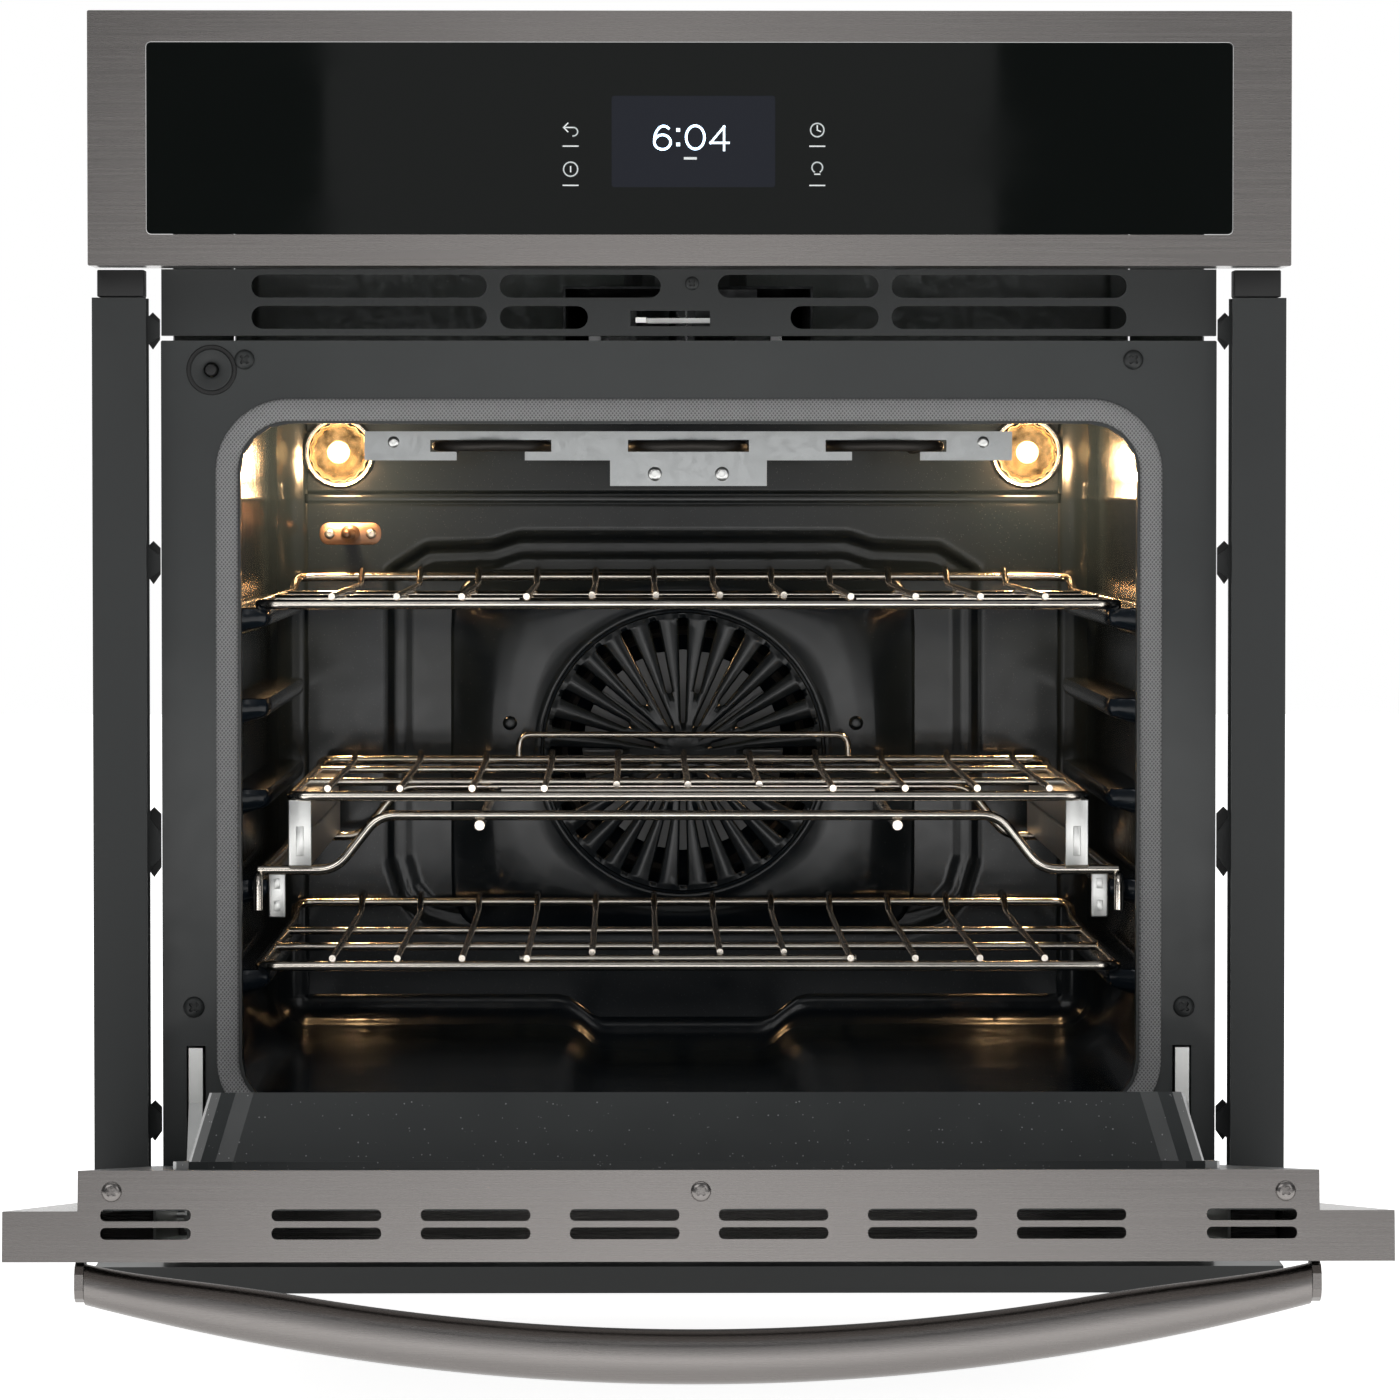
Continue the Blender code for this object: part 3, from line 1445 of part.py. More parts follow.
def make_hinges(kit, door_pivot):
    for side, sign in SIDES:
        x = sign * HINGE_X
        half = HINGE_ARM_THICKNESS / 2
        arm = shape_object(
            f"hinge_arm_{side}",
            lambda bm, x=x, half=half: prism(
                bm,
                [(PIVOT_Y + y, PIVOT_Z + z) for y, z in hinge_arm_outline()],
                "X",
                (x - half, x + half),
            ),
            kit["zinc"],
        )
        cut(
            arm,
            "eye",
            lambda bm, x=x: cylinder(
                bm, (PIVOT_Y, PIVOT_Z), HINGE_PIN_RADIUS + GAP, "X", (x - 0.02, x + 0.02), 20
            ),
        )
        receiver_half = 0.0095
        low = PIVOT_Z + HINGE_SLOT_BOTTOM - 0.012
        shape_object(
            f"hinge_receiver_{side}",
            lambda bm, x=x, low=low, half=receiver_half: tray(
                bm,
                (x - half, x + half),
                (FRAME_BACK_Y + GAP, FRAME_BACK_Y + 0.050),
                (low, low + HINGE_SLOT_HEIGHT + 0.024),
                0.0015,
                "-Y",
            ),
            kit["galvanised"],
        )
        channel = shape_object(
            f"hinge_channel_{side}",
            lambda bm, x=x: hinge_channel(bm, x),
            kit["zinc"],
            door_pivot,
        )
        reach = HINGE_CHANNEL_WIDTH / 2 - 0.0008
        join(
            channel,
            "pin",
            lambda bm, x=x, reach=reach: cylinder(
                bm, (PIVOT_Y, PIVOT_Z), HINGE_PIN_RADIUS, "X", (x - reach, x + reach), 20
            ),
        )


def make_latch(kit):
    """The door lock: a motor bracket and a hook that swings out through the vent trim."""
    x, y = LATCH_PIVOT_X, FACE_Y + LATCH_PIVOT_DEPTH
    low = LATCH_Z - 0.0045
    base = shape_object(
        "latch_base",
        lambda bm: box(bm, (x - 0.018, x + 0.022), (y - 0.012, y + 0.034), (low, low + 0.0035)),
        kit["galvanised"],
    )

    def motor_block(bm):
        box(bm, (x - 0.016, x + 0.020), (y + 0.012, y + 0.032), (low + 0.001, low + 0.024))

    join(base, "motor", motor_block)
    join(base, "pin", lambda bm: cylinder(bm, (x, y), 0.0025, "Z", (low + 0.001, low + 0.012), 12))
    pivot = pivot_empty("latch_axis", (x, y, LATCH_Z))
    end = x - LATCH_ARM
    outline = arc((x, y), 0.008, 90, -90, 8) + [
        (end + 0.004, y - 0.004),
        (end + 0.003, y - LATCH_FINGER),
        (end - 0.003, y - LATCH_FINGER),
        (end - 0.004, y + 0.002),
        (end + 0.004, y + 0.006),
    ]
    outline = list(reversed(outline))
    plate_low = low + 0.0035 + GAP
    hook = shape_object(
        "latch_hook",
        lambda bm: prism(bm, outline, "Z", (plate_low, plate_low + LATCH_THICKNESS)),
        kit["zinc"],
        pivot,
    )
    cut(
        hook,
        "eye",
        lambda bm: cylinder(bm, (x, y), 0.0025 + GAP, "Z", (plate_low - 0.01, plate_low + 0.02), 12),
    )


def make_light_switch(kit):
    """The door switch of the oven lamps: a barrel in the front frame and its spring plunger."""
    centre = (-FRAME_HALF + SWITCH_INSET, FRAME_TOP - SWITCH_BELOW_TOP)
    flange = (FACE_Y - GAP - 0.003, FACE_Y - GAP)
    body = shape_object(
        "light_switch_body",
        lambda bm: cylinder(bm, centre, SWITCH_FLANGE_RADIUS, "Y", flange),
        kit["plastic"],
        smooth=40,
    )
    join(
        body,
        "barrel",
        lambda bm: cylinder(
            bm, centre, SWITCH_BARREL_RADIUS, "Y", (flange[0] + 0.001, FACE_Y + 0.034)
        ),
    )
    cut(
        body,
        "bore",
        lambda bm: cylinder(
            bm, centre, PLUNGER_RADIUS + GAP, "Y", (flange[0] - 0.01, FACE_Y + 0.027), 16
        ),
    )
    tip = DOOR_INNER_Y + 0.0004
    pivot = pivot_empty("light_switch_axis", (centre[0], tip, centre[1]))
    shape_object(
        "light_switch_plunger",
        lambda bm: cylinder(bm, centre, PLUNGER_RADIUS, "Y", (tip, FACE_Y + 0.020), 16),
        kit["plastic"],
        pivot,
        smooth=40,
    )


# ---------------------------------------------------------------- door
def door_box(border_x, low_border, high_border):
    """The x and z ranges of a door rectangle inside these borders."""
    return (
        (-HALF + border_x, HALF - border_x),
        (DOOR_BOTTOM + low_border, DOOR_TOP - DOOR_TRIM_THICKNESS - GAP - high_border),
    )


def make_door_skin(kit, pivot):
    sheet = TRIM_SHEET
    outer = (*door_box(0, 0, 0), 0.002)
    inside = (*door_box(sheet, sheet, sheet), 0.002)
    back = (*door_box(SIDE_OVERLAP - 0.001, 0.006, 0.006), 0.002)
    window = (
        *door_box(WINDOW_SIDE_BORDER, WINDOW_BOTTOM_BORDER, WINDOW_TOP_BORDER),
        0.010,
    )
    loops = [
        (*outer, DOOR_FACE_Y),
        (*outer, DOOR_MID_Y),
        (*back, DOOR_MID_Y),
        (*back, DOOR_MID_Y - sheet),
        (*inside, DOOR_MID_Y - sheet),
        (*inside, DOOR_FACE_Y + sheet),
        (*window, DOOR_FACE_Y + sheet),
        (*window, DOOR_FACE_Y),
    ]
    skin = shape_object("door_skin", lambda bm: ring(bm, loops), kit["black_steel"], pivot)
    cut(skin, "exhaust", lambda bm: trim_slots(bm, GAP))
    glass_x, glass_z = door_box(
        WINDOW_SIDE_BORDER - GLASS_LAP, WINDOW_BOTTOM_BORDER - GLASS_LAP, WINDOW_TOP_BORDER - GLASS_LAP
    )
    glass_y = DOOR_FACE_Y + sheet + GAP
    shape_object(
        "door_outer_glass",
        lambda bm: box(bm, glass_x, (glass_y, glass_y + GLASS), glass_z),
        kit["glass"],
        pivot,
    )


def plug_ranges():
    """The door plug at its base, on the flat of the liner."""
    half = OPENING_HALF - PLUG_CLEARANCE
    return (-half, half), (OPENING_BOTTOM + 0.004, OPENING_TOP - 0.0045)


def shrunk(x, z, side, ends):
    return (x[0] + side, x[1] - side), (z[0] + ends, z[1] - ends)


def make_door_liner(kit, pivot):
    sheet = ENAMEL_SHEET
    x, z = door_box(LINER_SIDE_INSET, LINER_BOTTOM_INSET, 0)
    outer = (x, z, 0.003)
    inside = (*shrunk(x, z, sheet, sheet), 0.003)
    base_x, base_z = plug_ranges()
    step = (*shrunk(base_x, base_z, -PLUG_STEP_BORDER, -PLUG_STEP_BORDER), PLUG_CORNER + PLUG_STEP_BORDER)
    step_y = DOOR_INNER_Y + LINER_STEP
    face_y = step_y + PLUG_HEIGHT
    top = shrunk(base_x, base_z, PLUG_DRAFT, PLUG_TOP_DRAFT)
    window = (*shrunk(*top, INNER_WINDOW_BORDER, INNER_WINDOW_BORDER), 0.010)
    loops = [
        (*outer, DOOR_MID_Y + GAP),
        (*outer, DOOR_INNER_Y),
        (*step, DOOR_INNER_Y),
        (*step, step_y),
        (base_x, base_z, PLUG_CORNER, step_y),
        (*top, PLUG_CORNER, face_y),
        (*window, face_y),
        (*window, face_y - sheet),
        (*shrunk(*top, sheet, sheet), PLUG_CORNER - sheet, face_y - sheet),
        (*shrunk(base_x, base_z, sheet, sheet), PLUG_CORNER - sheet, step_y - sheet),
        (*shrunk(step[0], step[1], sheet, sheet), step[2] - sheet, step_y - sheet),
        (*shrunk(step[0], step[1], sheet, sheet), step[2] - sheet, DOOR_INNER_Y - sheet),
        (*inside, DOOR_INNER_Y - sheet),
        (*inside, DOOR_MID_Y + GAP),
    ]
    liner = shape_object("door_liner", lambda bm: ring(bm, loops), kit["porcelain"], pivot)

    def openings(bm):
        deep = (DOOR_MID_Y - 0.004, DOOR_INNER_Y + 0.002)
        low = DOOR_BOTTOM + LINER_BOTTOM_INSET - 0.002
        for _, sign in SIDES:
            hinge_x = sign * HINGE_X
            box(bm, (hinge_x - 0.007, hinge_x + 0.007), deep, (low, PIVOT_Z + 0.062))
        box(
            bm,
            (LATCH_SLOT[0] + 0.004, LATCH_SLOT[1]),
            (DOOR_INNER_Y - 0.006, DOOR_INNER_Y + 0.002),
            (LATCH_Z - 0.0045, LATCH_Z + 0.0065),
        )

    cut(liner, "openings", openings)

    glass_x, glass_z = shrunk(*top, INNER_WINDOW_BORDER - GLASS_LAP, INNER_WINDOW_BORDER - GLASS_LAP)
    inner_y = face_y - sheet - GAP
    for name, back_y in (("door_inner_glass", inner_y), ("door_middle_glass", inner_y - 0.022)):
        shape_object(
            name,
            lambda bm, back_y=back_y: box(bm, glass_x, (back_y - GLASS, back_y), glass_z),
            kit["clear_glass"],
            pivot,
        )


def trim_slots(bm, clearance=0.0):
    """Two rows of round-ended exhaust slots along the door's top edge."""
    pitch = (HALF - TRIM_SLOT_REACH) / 2.5
    length = pitch - TRIM_SLOT_LAND
    spans = [((i - 2.5) * pitch - length / 2, (i - 2.5) * pitch + length / 2) for i in range(6)]
    for _, sign in SIDES:
        centre = sign * (HALF - TRIM_END_SLOT_INSET)
        spans.append((centre - TRIM_END_SLOT / 2, centre + TRIM_END_SLOT / 2))
    half = TRIM_SLOT_HEIGHT / 2 + clearance
    for depth in TRIM_SLOT_ROWS:
        y = DOOR_INNER_Y - depth
        for start, stop in spans:
            outline = slot_outline((start - clearance, stop + clearance), (y - half, y + half))
            prism(bm, outline, "Z", (DOOR_TOP - 0.01, DOOR_TOP + 0.01))


def make_door_trim(kit, pivot):
    liner_half = HALF - LINER_SIDE_INSET
    outline = [
        (-HALF, DOOR_FACE_Y),
        (HALF, DOOR_FACE_Y),
        (HALF, DOOR_MID_Y),
        (liner_half, DOOR_MID_Y),
        (liner_half, DOOR_INNER_Y),
        (-liner_half, DOOR_INNER_Y),
        (-liner_half, DOOR_MID_Y),
        (-HALF, DOOR_MID_Y),
    ]
    trim = shape_object(
        "door_vent_trim",
        lambda bm: prism(bm, outline, "Z", (DOOR_TOP - DOOR_TRIM_THICKNESS, DOOR_TOP)),
        kit["black_steel"],
        pivot,
    )
    cut(trim, "slots", trim_slots)


def handle_section(x, half_length):
    """The bar's (y, z) section at x: it bows away from the door and thickens to the middle."""
    bow = 1 - (x / half_length) ** 2
    outer = DOOR_FACE_Y - HANDLE_END_REACH - (HANDLE_REACH - HANDLE_END_REACH) * bow
    thick = HANDLE_END_REACH - 0.0006 + (HANDLE_THICKNESS - HANDLE_END_REACH) * min(1.0, 3 * bow)
    inner = min(outer + thick, DOOR_FACE_Y - 0.0006)
    centre_y, half_y = (outer + inner) / 2, (inner - outer) / 2
    centre_z = DOOR_TOP - HANDLE_BELOW_TOP
    section = []
    for i in range(12):
        angle = 2 * math.pi * (i + 0.5) / 12
        across, up = math.cos(angle), math.sin(angle)
        section.append(
            (
                centre_y + half_y * math.copysign(abs(across) ** 0.7, across),
                centre_z + HANDLE_TALL / 2 * math.copysign(abs(up) ** 0.7, up),
            )
        )
    return section


def swept_sections(bm, sections):
    """A closed body through (x, [(y, z), ...]) sections."""
    rows = [[bm.verts.new((x, y, z)) for y, z in section] for x, section in sections]
    for first, second in zip(rows, rows[1:]):
        for j, vertex in enumerate(first):
            k = (j + 1) % len(first)
            bm.faces.new((vertex, first[k], second[k], second[j]))
    bm.faces.new(rows[0])
    bm.faces.new(rows[-1])


def make_handle(kit, pivot):
    half = HALF - HANDLE_SIDE_INSET
    bar_half = half - HANDLE_CAP - GAP
    stations = [bar_half * math.sin(math.pi / 2 * i / 8) for i in range(-8, 9)]
    shape_object(
        "handle_bar",
        lambda bm: swept_sections(bm, [(x, handle_section(x, half)) for x in stations]),
        kit["black_steel"],
        pivot,
        smooth=50,
    )
    for side, sign in SIDES:
        ends = sorted((sign * (half - HANDLE_CAP), sign * half))
        shape_object(
            f"handle_end_{side}",
            lambda bm, ends=ends: swept_sections(bm, [(x, handle_section(half, half)) for x in ends]),
            kit["zinc"],
            pivot,
            smooth=50,
        )


# ---------------------------------------------------------------- assembly
def main():
    for obj in list(bpy.data.objects):
        bpy.data.objects.remove(obj, do_unlink=True)
    kit = make_finishes()
    door_pivot = pivot_empty("door_axis", (0, PIVOT_Y, PIVOT_Z), (DOOR_OPEN_ANGLE, 0, 0))
    make_chassis(kit)
    make_front_frame(kit)
    make_cavity(kit)
    make_insulation(kit)
    make_elements(kit)
    make_convection(kit)
    make_blower(kit)
    make_lamps(kit)
    make_sensor(kit)
    make_racks(kit)
    make_glide(kit)
    make_vent_trim(kit)
    make_trims(kit)
    make_panel(kit)
    make_hinges(kit, door_pivot)
    make_latch(kit)
    make_light_switch(kit)
    make_door_skin(kit, door_pivot)
    make_door_liner(kit, door_pivot)
    make_door_trim(kit, door_pivot)
    make_handle(kit, door_pivot)


main()
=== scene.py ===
import json
import math

import bmesh
import bpy
import numpy as np
from mathutils import Matrix, Vector


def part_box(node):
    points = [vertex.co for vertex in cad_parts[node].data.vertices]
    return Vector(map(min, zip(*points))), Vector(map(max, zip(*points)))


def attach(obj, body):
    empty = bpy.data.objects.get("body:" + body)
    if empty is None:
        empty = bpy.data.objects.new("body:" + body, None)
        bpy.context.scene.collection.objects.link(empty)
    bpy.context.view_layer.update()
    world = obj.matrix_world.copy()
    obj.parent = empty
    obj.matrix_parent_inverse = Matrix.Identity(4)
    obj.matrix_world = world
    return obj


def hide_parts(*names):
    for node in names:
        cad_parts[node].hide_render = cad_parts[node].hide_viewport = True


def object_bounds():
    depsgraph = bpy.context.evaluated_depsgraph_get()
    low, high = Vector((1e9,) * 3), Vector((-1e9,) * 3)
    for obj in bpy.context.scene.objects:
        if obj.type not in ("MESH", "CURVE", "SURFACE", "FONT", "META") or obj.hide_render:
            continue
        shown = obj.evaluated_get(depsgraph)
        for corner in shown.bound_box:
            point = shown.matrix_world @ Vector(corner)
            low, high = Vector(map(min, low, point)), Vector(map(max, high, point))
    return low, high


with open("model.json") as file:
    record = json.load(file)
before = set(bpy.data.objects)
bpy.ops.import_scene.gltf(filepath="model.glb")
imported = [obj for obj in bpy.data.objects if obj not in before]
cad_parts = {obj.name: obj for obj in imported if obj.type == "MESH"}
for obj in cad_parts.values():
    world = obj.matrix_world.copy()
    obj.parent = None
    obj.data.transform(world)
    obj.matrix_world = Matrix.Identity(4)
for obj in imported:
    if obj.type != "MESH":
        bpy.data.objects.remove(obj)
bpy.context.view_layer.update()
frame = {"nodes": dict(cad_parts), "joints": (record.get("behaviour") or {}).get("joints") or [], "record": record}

# ---------------------------------------------------------------- places read from the frame
JOINTS = {joint["name"]: joint for joint in frame["joints"]}
SLOT_OF = {part["node"]: part["material_slot"] for part in frame["record"]["subparts"]}
SIDES = (("left", -1), ("right", 1))
SHEET = 0.0015
GAP = 0.0003

FACE_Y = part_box("front_frame")[0].y
CAVITY_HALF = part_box("cavity_wall_right")[1].x - SHEET
CAVITY_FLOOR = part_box("cavity_floor")[1].z
WELL_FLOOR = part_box("cavity_floor")[0].z + SHEET
CAVITY_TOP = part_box("cavity_ceiling")[0].z
CAVITY_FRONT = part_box("cavity_floor")[0].y
CAVITY_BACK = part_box("cavity_floor")[1].y + GAP
LEDGE_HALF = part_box("cavity_wall_right")[0].x
GLASS_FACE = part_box("control_glass")[0].y

# How the closed door, in which its pieces are easy to describe, swings to its open rest
HINGE = Vector(JOINTS["door_hinge"]["pos_m"])
OPEN_ANGLE = -math.radians(JOINTS["door_hinge"]["range_deg"][0])
OPENED = (
    Matrix.Translation(HINGE) @ Matrix.Rotation(OPEN_ANGLE, 4, "X") @ Matrix.Translation(-HINGE)
)


def closed_box(node):
    """The corners of a door node as if the door were closed."""
    back = OPENED.inverted()
    points = [back @ vertex.co for vertex in frame["nodes"][node].data.vertices]
    low = Vector([min(p[i] for p in points) for i in range(3)])
    high = Vector([max(p[i] for p in points) for i in range(3)])
    return low, high


# ---------------------------------------------------------------- camera, light and floor
CAMERA_PLACE = (-0.032, -4.0625, 0.453)
CAMERA_TARGET = (0.0091, 0.0, 0.316)
CAMERA_LENS = 167.8
# name, place, target, (width, height), power
SOFT_LIGHTS = (
    ("key", (-1.5, -3.4, 2.3), (0, -0.2, 0.3), (2.2, 1.2), 20),
    ("fill", (1.7, -3.6, 1.6), (0, 0, 0.3), (1.2, 1.8), 12),
    ("low", (0.2, -3.8, -0.0), (0, -0.3, 0.2), (2.4, 0.5), 7),
    ("top", (0, 0.1, 2.6), (0, 0, 0.3), (2.0, 1.4), 18),
    ("front", (0, -4.4, 0.75), (0, 0, 0.40), (0.8, 1.6), 4.0),
)
OVEN_LAMP_POWER = 1.3
FLOOR_REACH = 9.0
FLOOR_GLOW = 0.92


def aim(obj, spot, target):
    bpy.context.scene.collection.objects.link(obj)
    obj.location = spot
    obj.rotation_euler = (Vector(target) - Vector(spot)).to_track_quat("-Z", "Y").to_euler()


def make_camera():
    data = bpy.data.cameras.new("camera")
    data.lens = CAMERA_LENS
    data.sensor_width = 36.0
    data.clip_end = 60
    camera = bpy.data.objects.new("camera", data)
    aim(camera, CAMERA_PLACE, CAMERA_TARGET)
    bpy.context.scene.camera = camera


def make_world():
    """White beyond the oven, dim behind the viewer and soft above."""
    world = bpy.data.worlds.new("studio")
    bpy.context.scene.world = world
    world.use_nodes = True
    tree = world.node_tree
    background = tree.nodes["Background"]
    background.inputs["Strength"].default_value = 1.0
    sky = add(tree, "SeparateXYZ", {"Vector": add(tree, "TexCoord").outputs["Generated"]})
    behind = spread(tree, sky.outputs["Y"], 0.12, 1.0, -0.10, 0.40)
    above = spread(tree, sky.outputs["Z"], 0.0, 0.32, 0.30, 0.80)
    level = add(tree, "Math", {0: behind, 1: above}, operation="MAXIMUM").outputs[0]
    stops = [(0.0, (0, 0, 0)), (0.12, (0.085, 0.092, 0.100)), (1.0, (1, 1, 1))]
    tree.links.new(colours(tree, level, stops), background.inputs["Color"])


def make_lights():
    for name, spot, target, size, power in SOFT_LIGHTS:
        data = bpy.data.lights.new(name, "AREA")
        data.shape = "RECTANGLE"
        data.size, data.size_y = size
        data.energy = power
        data.color = (1, 1, 1)
        aim(bpy.data.objects.new(name, data), spot, target)
    for side, _ in SIDES:
        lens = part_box(f"lamp_lens_{side}")
        data = bpy.data.lights.new(f"oven_lamp_{side}", "POINT")
        data.energy = OVEN_LAMP_POWER
        data.color = (1.0, 0.62, 0.30)
        data.shadow_soft_size = 0.012
        lamp = bpy.data.objects.new(f"oven_lamp_{side}", data)
        bpy.context.scene.collection.objects.link(lamp)
        lamp.location = ((lens[0].x + lens[1].x) / 2, lens[0].y - 0.030, lens[0].z + 0.012)


def make_floor():
    floor_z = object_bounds()[0][2] - 0.0006
    mesh = bpy.data.meshes.new("floor")
    r = FLOOR_REACH
    mesh.from_pydata([(x, y, floor_z) for x, y in ((-r, -r), (r, -r), (r, r), (-r, r))], [], [(0, 1, 2, 3)])
    floor = bpy.data.objects.new("floor", mesh)
    bpy.context.scene.collection.objects.link(floor)
    settings = {
        "Base Color": (0.90, 0.90, 0.89, 1), "Roughness": 0.9, "Specular IOR Level": 0.1,
        "Emission Color": (1, 1, 1, 1), "Emission Strength": FLOOR_GLOW,
    }
    paint = new_material("pale_floor", settings)[0]
    mesh.materials.append(paint)


def make_studio():
    bpy.context.scene.view_settings.view_transform = "Standard"
    make_world()
    make_lights()
    make_floor()


# ---------------------------------------------------------------- materials
def new_material(name, settings):
    """A material, its tree and its shader, with these constants on the shader's sockets."""
    material = bpy.data.materials.new(name)
    material.use_nodes = True
    tree = material.node_tree
    shader = tree.nodes["Principled BSDF"]
    for socket, value in settings.items():
        shader.inputs[socket].default_value = value
    return material, tree, shader


def add(tree, kind, inputs=None, **settings):
    """A shader node; each input is a value or another node's socket."""
    made = tree.nodes.new("ShaderNode" + kind)
    for key, value in settings.items():
        setattr(made, key, value)
    for key, value in (inputs or {}).items():
        if isinstance(value, bpy.types.NodeSocket):
            tree.links.new(value, made.inputs[key])
        else:
            made.inputs[key].default_value = value
    return made


def place(tree, scale=(1, 1, 1), turn=(0, 0, 0)):
    """Object coordinates in metres, stretched by scale."""
    coords = add(tree, "TexCoord").outputs["Object"]
    return add(tree, "Mapping", {"Vector": coords, "Scale": scale, "Rotation": turn}).outputs["Vector"]


def noise(tree, vector, scale, detail=3.0, roughness=0.5):
    inputs = {"Vector": vector, "Scale": scale, "Detail": detail, "Roughness": roughness}
    return add(tree, "TexNoise", inputs).outputs["Fac"]


def spread(tree, value, low, high, start=0.3, stop=0.7):
    """value from start..stop taken to low..high."""
    inputs = {"Value": value, "From Min": start, "From Max": stop, "To Min": low, "To Max": high}
    return add(tree, "MapRange", inputs).outputs["Result"]


def colours(tree, value, stops):
    ramp = add(tree, "ValToRGB", {"Fac": value})
    while len(ramp.color_ramp.elements) < len(stops):
        ramp.color_ramp.elements.new(0.5)
    for element, (position, colour) in zip(ramp.color_ramp.elements, stops):
        element.position = position
        element.color = (*colour, 1)
    return ramp.outputs["Color"]


def bump(tree, shader, height, strength, distance):
    made = add(tree, "Bump", {"Height": height, "Strength": strength, "Distance": distance})
    tree.links.new(made.outputs["Normal"], shader.inputs["Normal"])


def shade(colour, factor):
    return tuple(min(1.0, channel * factor) for channel in colour)


def tint(tree, shader, value, colour, darker, lighter, start=0.3, stop=0.7):
    """The base colour, from darker to lighter as the value goes from start to stop."""
    stops = [(start, shade(colour, darker)), (stop, shade(colour, lighter))]
    tree.links.new(colours(tree, value, stops), shader.inputs["Base Color"])


def rough(tree, shader, value, low, high, start=0.3, stop=0.7):
    tree.links.new(spread(tree, value, low, high, start, stop), shader.inputs["Roughness"])


def brushed_metal(name, colour, roughness, streaks=(9, 1500, 1500), variation=0.05):
    material, tree, shader = new_material(name, {"Metallic": 1.0})
    lines = noise(tree, place(tree, streaks), 1.0, 4.0, 0.6)
    clouds = noise(tree, place(tree), 6.0, 2.0)
    both = add(tree, "Math", {0: lines, 1: clouds}, operation="ADD").outputs[0]
    tint(tree, shader, spread(tree, both, 0, 1, 0.7, 1.3), colour, 1 - variation, 1 + variation, 0.0, 1.0)
    rough(tree, shader, lines, roughness - 0.02, roughness + 0.03)
    bump(tree, shader, lines, 0.02, 0.0001)
    return material


def plated_wire(name, colour, roughness):
    material, tree, shader = new_material(name, {"Metallic": 1.0})
    tint(tree, shader, noise(tree, place(tree), 28.0, 4.0), colour, 0.86, 1.08)
    rough(tree, shader, noise(tree, place(tree), 160.0), roughness - 0.05, roughness + 0.08)
    bump(tree, shader, noise(tree, place(tree), 900.0, 2.0), 0.08, 0.0001)
    return material


def galvanised(name, colour):
    """Zinc spangle: flat crystals of slightly different grey."""
    material, tree, shader = new_material(name, {"Metallic": 0.9})
    crystals = add(tree, "TexVoronoi", {"Vector": place(tree), "Scale": 260.0})
    grey = add(tree, "SeparateColor", {"Color": crystals.outputs["Color"]}).outputs["Red"]
    tint(tree, shader, grey, colour, 0.92, 1.07, 0.0, 1.0)
    rough(tree, shader, grey, 0.32, 0.50, 0, 1)
    bump(tree, shader, noise(tree, place(tree), 300.0), 0.06, 0.0002)
    return material


def speckled_enamel(name, colour, fleck, fleck_scale, fleck_size, roughness, coat, gloss):
    """Porcelain enamel: an even ground with fine flecks under a gloss coat."""
    settings = {"Specular IOR Level": gloss, "Coat Weight": coat, "Coat Roughness": 0.06}
    material, tree, shader = new_material(name, settings)
    cells = add(tree, "TexVoronoi", {"Vector": place(tree), "Scale": fleck_scale, "Randomness": 1.0})
    pick = add(tree, "SeparateColor", {"Color": cells.outputs["Color"]}).outputs["Green"]
    limit = spread(tree, pick, 0.0, fleck_size, 0.82, 1.0)
    inside = add(tree, "Math", {0: cells.outputs["Distance"], 1: limit}, operation="LESS_THAN").outputs[0]
    clouds = noise(tree, place(tree), 9.0, 3.0)
    ground = colours(tree, clouds, [(0.3, shade(colour, 0.88)), (0.7, shade(colour, 1.12))])
    mix = add(tree, "Mix", {"Factor": inside, 6: ground, 7: (*fleck, 1)}, data_type="RGBA")
    tree.links.new(mix.outputs[2], shader.inputs["Base Color"])
    rough(tree, shader, noise(tree, place(tree), 60.0), roughness - 0.03, roughness + 0.05)
    bump(tree, shader, noise(tree, place(tree), 120.0, 2.0), 0.05, 0.0005)
    return material


def plain_surface(name, colour, roughness, grain=400.0, depth=0.0001, metallic=0.0):
    """Paint or plastic with a fine grain and faint handling marks."""
    material, tree, shader = new_material(name, {"Metallic": metallic, "Specular IOR Level": 0.35})
    clouds = noise(tree, place(tree), 14.0, 4.0)
    tint(tree, shader, clouds, colour, 0.88, 1.12)
    rough(tree, shader, clouds, roughness - 0.05, roughness + 0.06)
    bump(tree, shader, noise(tree, place(tree), grain, 2.0), 0.15, depth)
    return material


def gloss_glass(name, colour, roughness, clear=0.0):
    settings = {
        "Base Color": (*colour, 1), "Transmission Weight": clear, "IOR": 1.5,
        "Specular IOR Level": 0.5 if clear else 0.14,
    }
    material, tree, shader = new_material(name, settings)
    smears = noise(tree, place(tree, (1, 1, 2)), 7.0, 5.0, 0.6)
    rough(tree, shader, smears, roughness, roughness + 0.05, 0.45, 0.75)
    return material


def glowing(name, colour, strength):
    settings = {"Base Color": (*colour, 1), "Emission Color": (*colour, 1), "Emission Strength": strength}
    material, tree, shader = new_material(name, settings)
    rough(tree, shader, noise(tree, place(tree), 300.0), 0.25, 0.40)
    return material


def lamp_glass(name):
    """Clear ribbed glass that takes an amber glow from the bulb inside."""
    settings = {
        "Base Color": (1.0, 0.80, 0.52, 1), "Transmission Weight": 1.0, "IOR": 1.45,
        "Emission Color": (1.0, 0.56, 0.22, 1),
    }
    material, tree, shader = new_material(name, settings)
    glow = noise(tree, place(tree), 140.0, 3.0)
    tree.links.new(spread(tree, glow, 0.05, 0.45), shader.inputs["Emission Strength"])
    rough(tree, shader, glow, 0.05, 0.18)
    return material


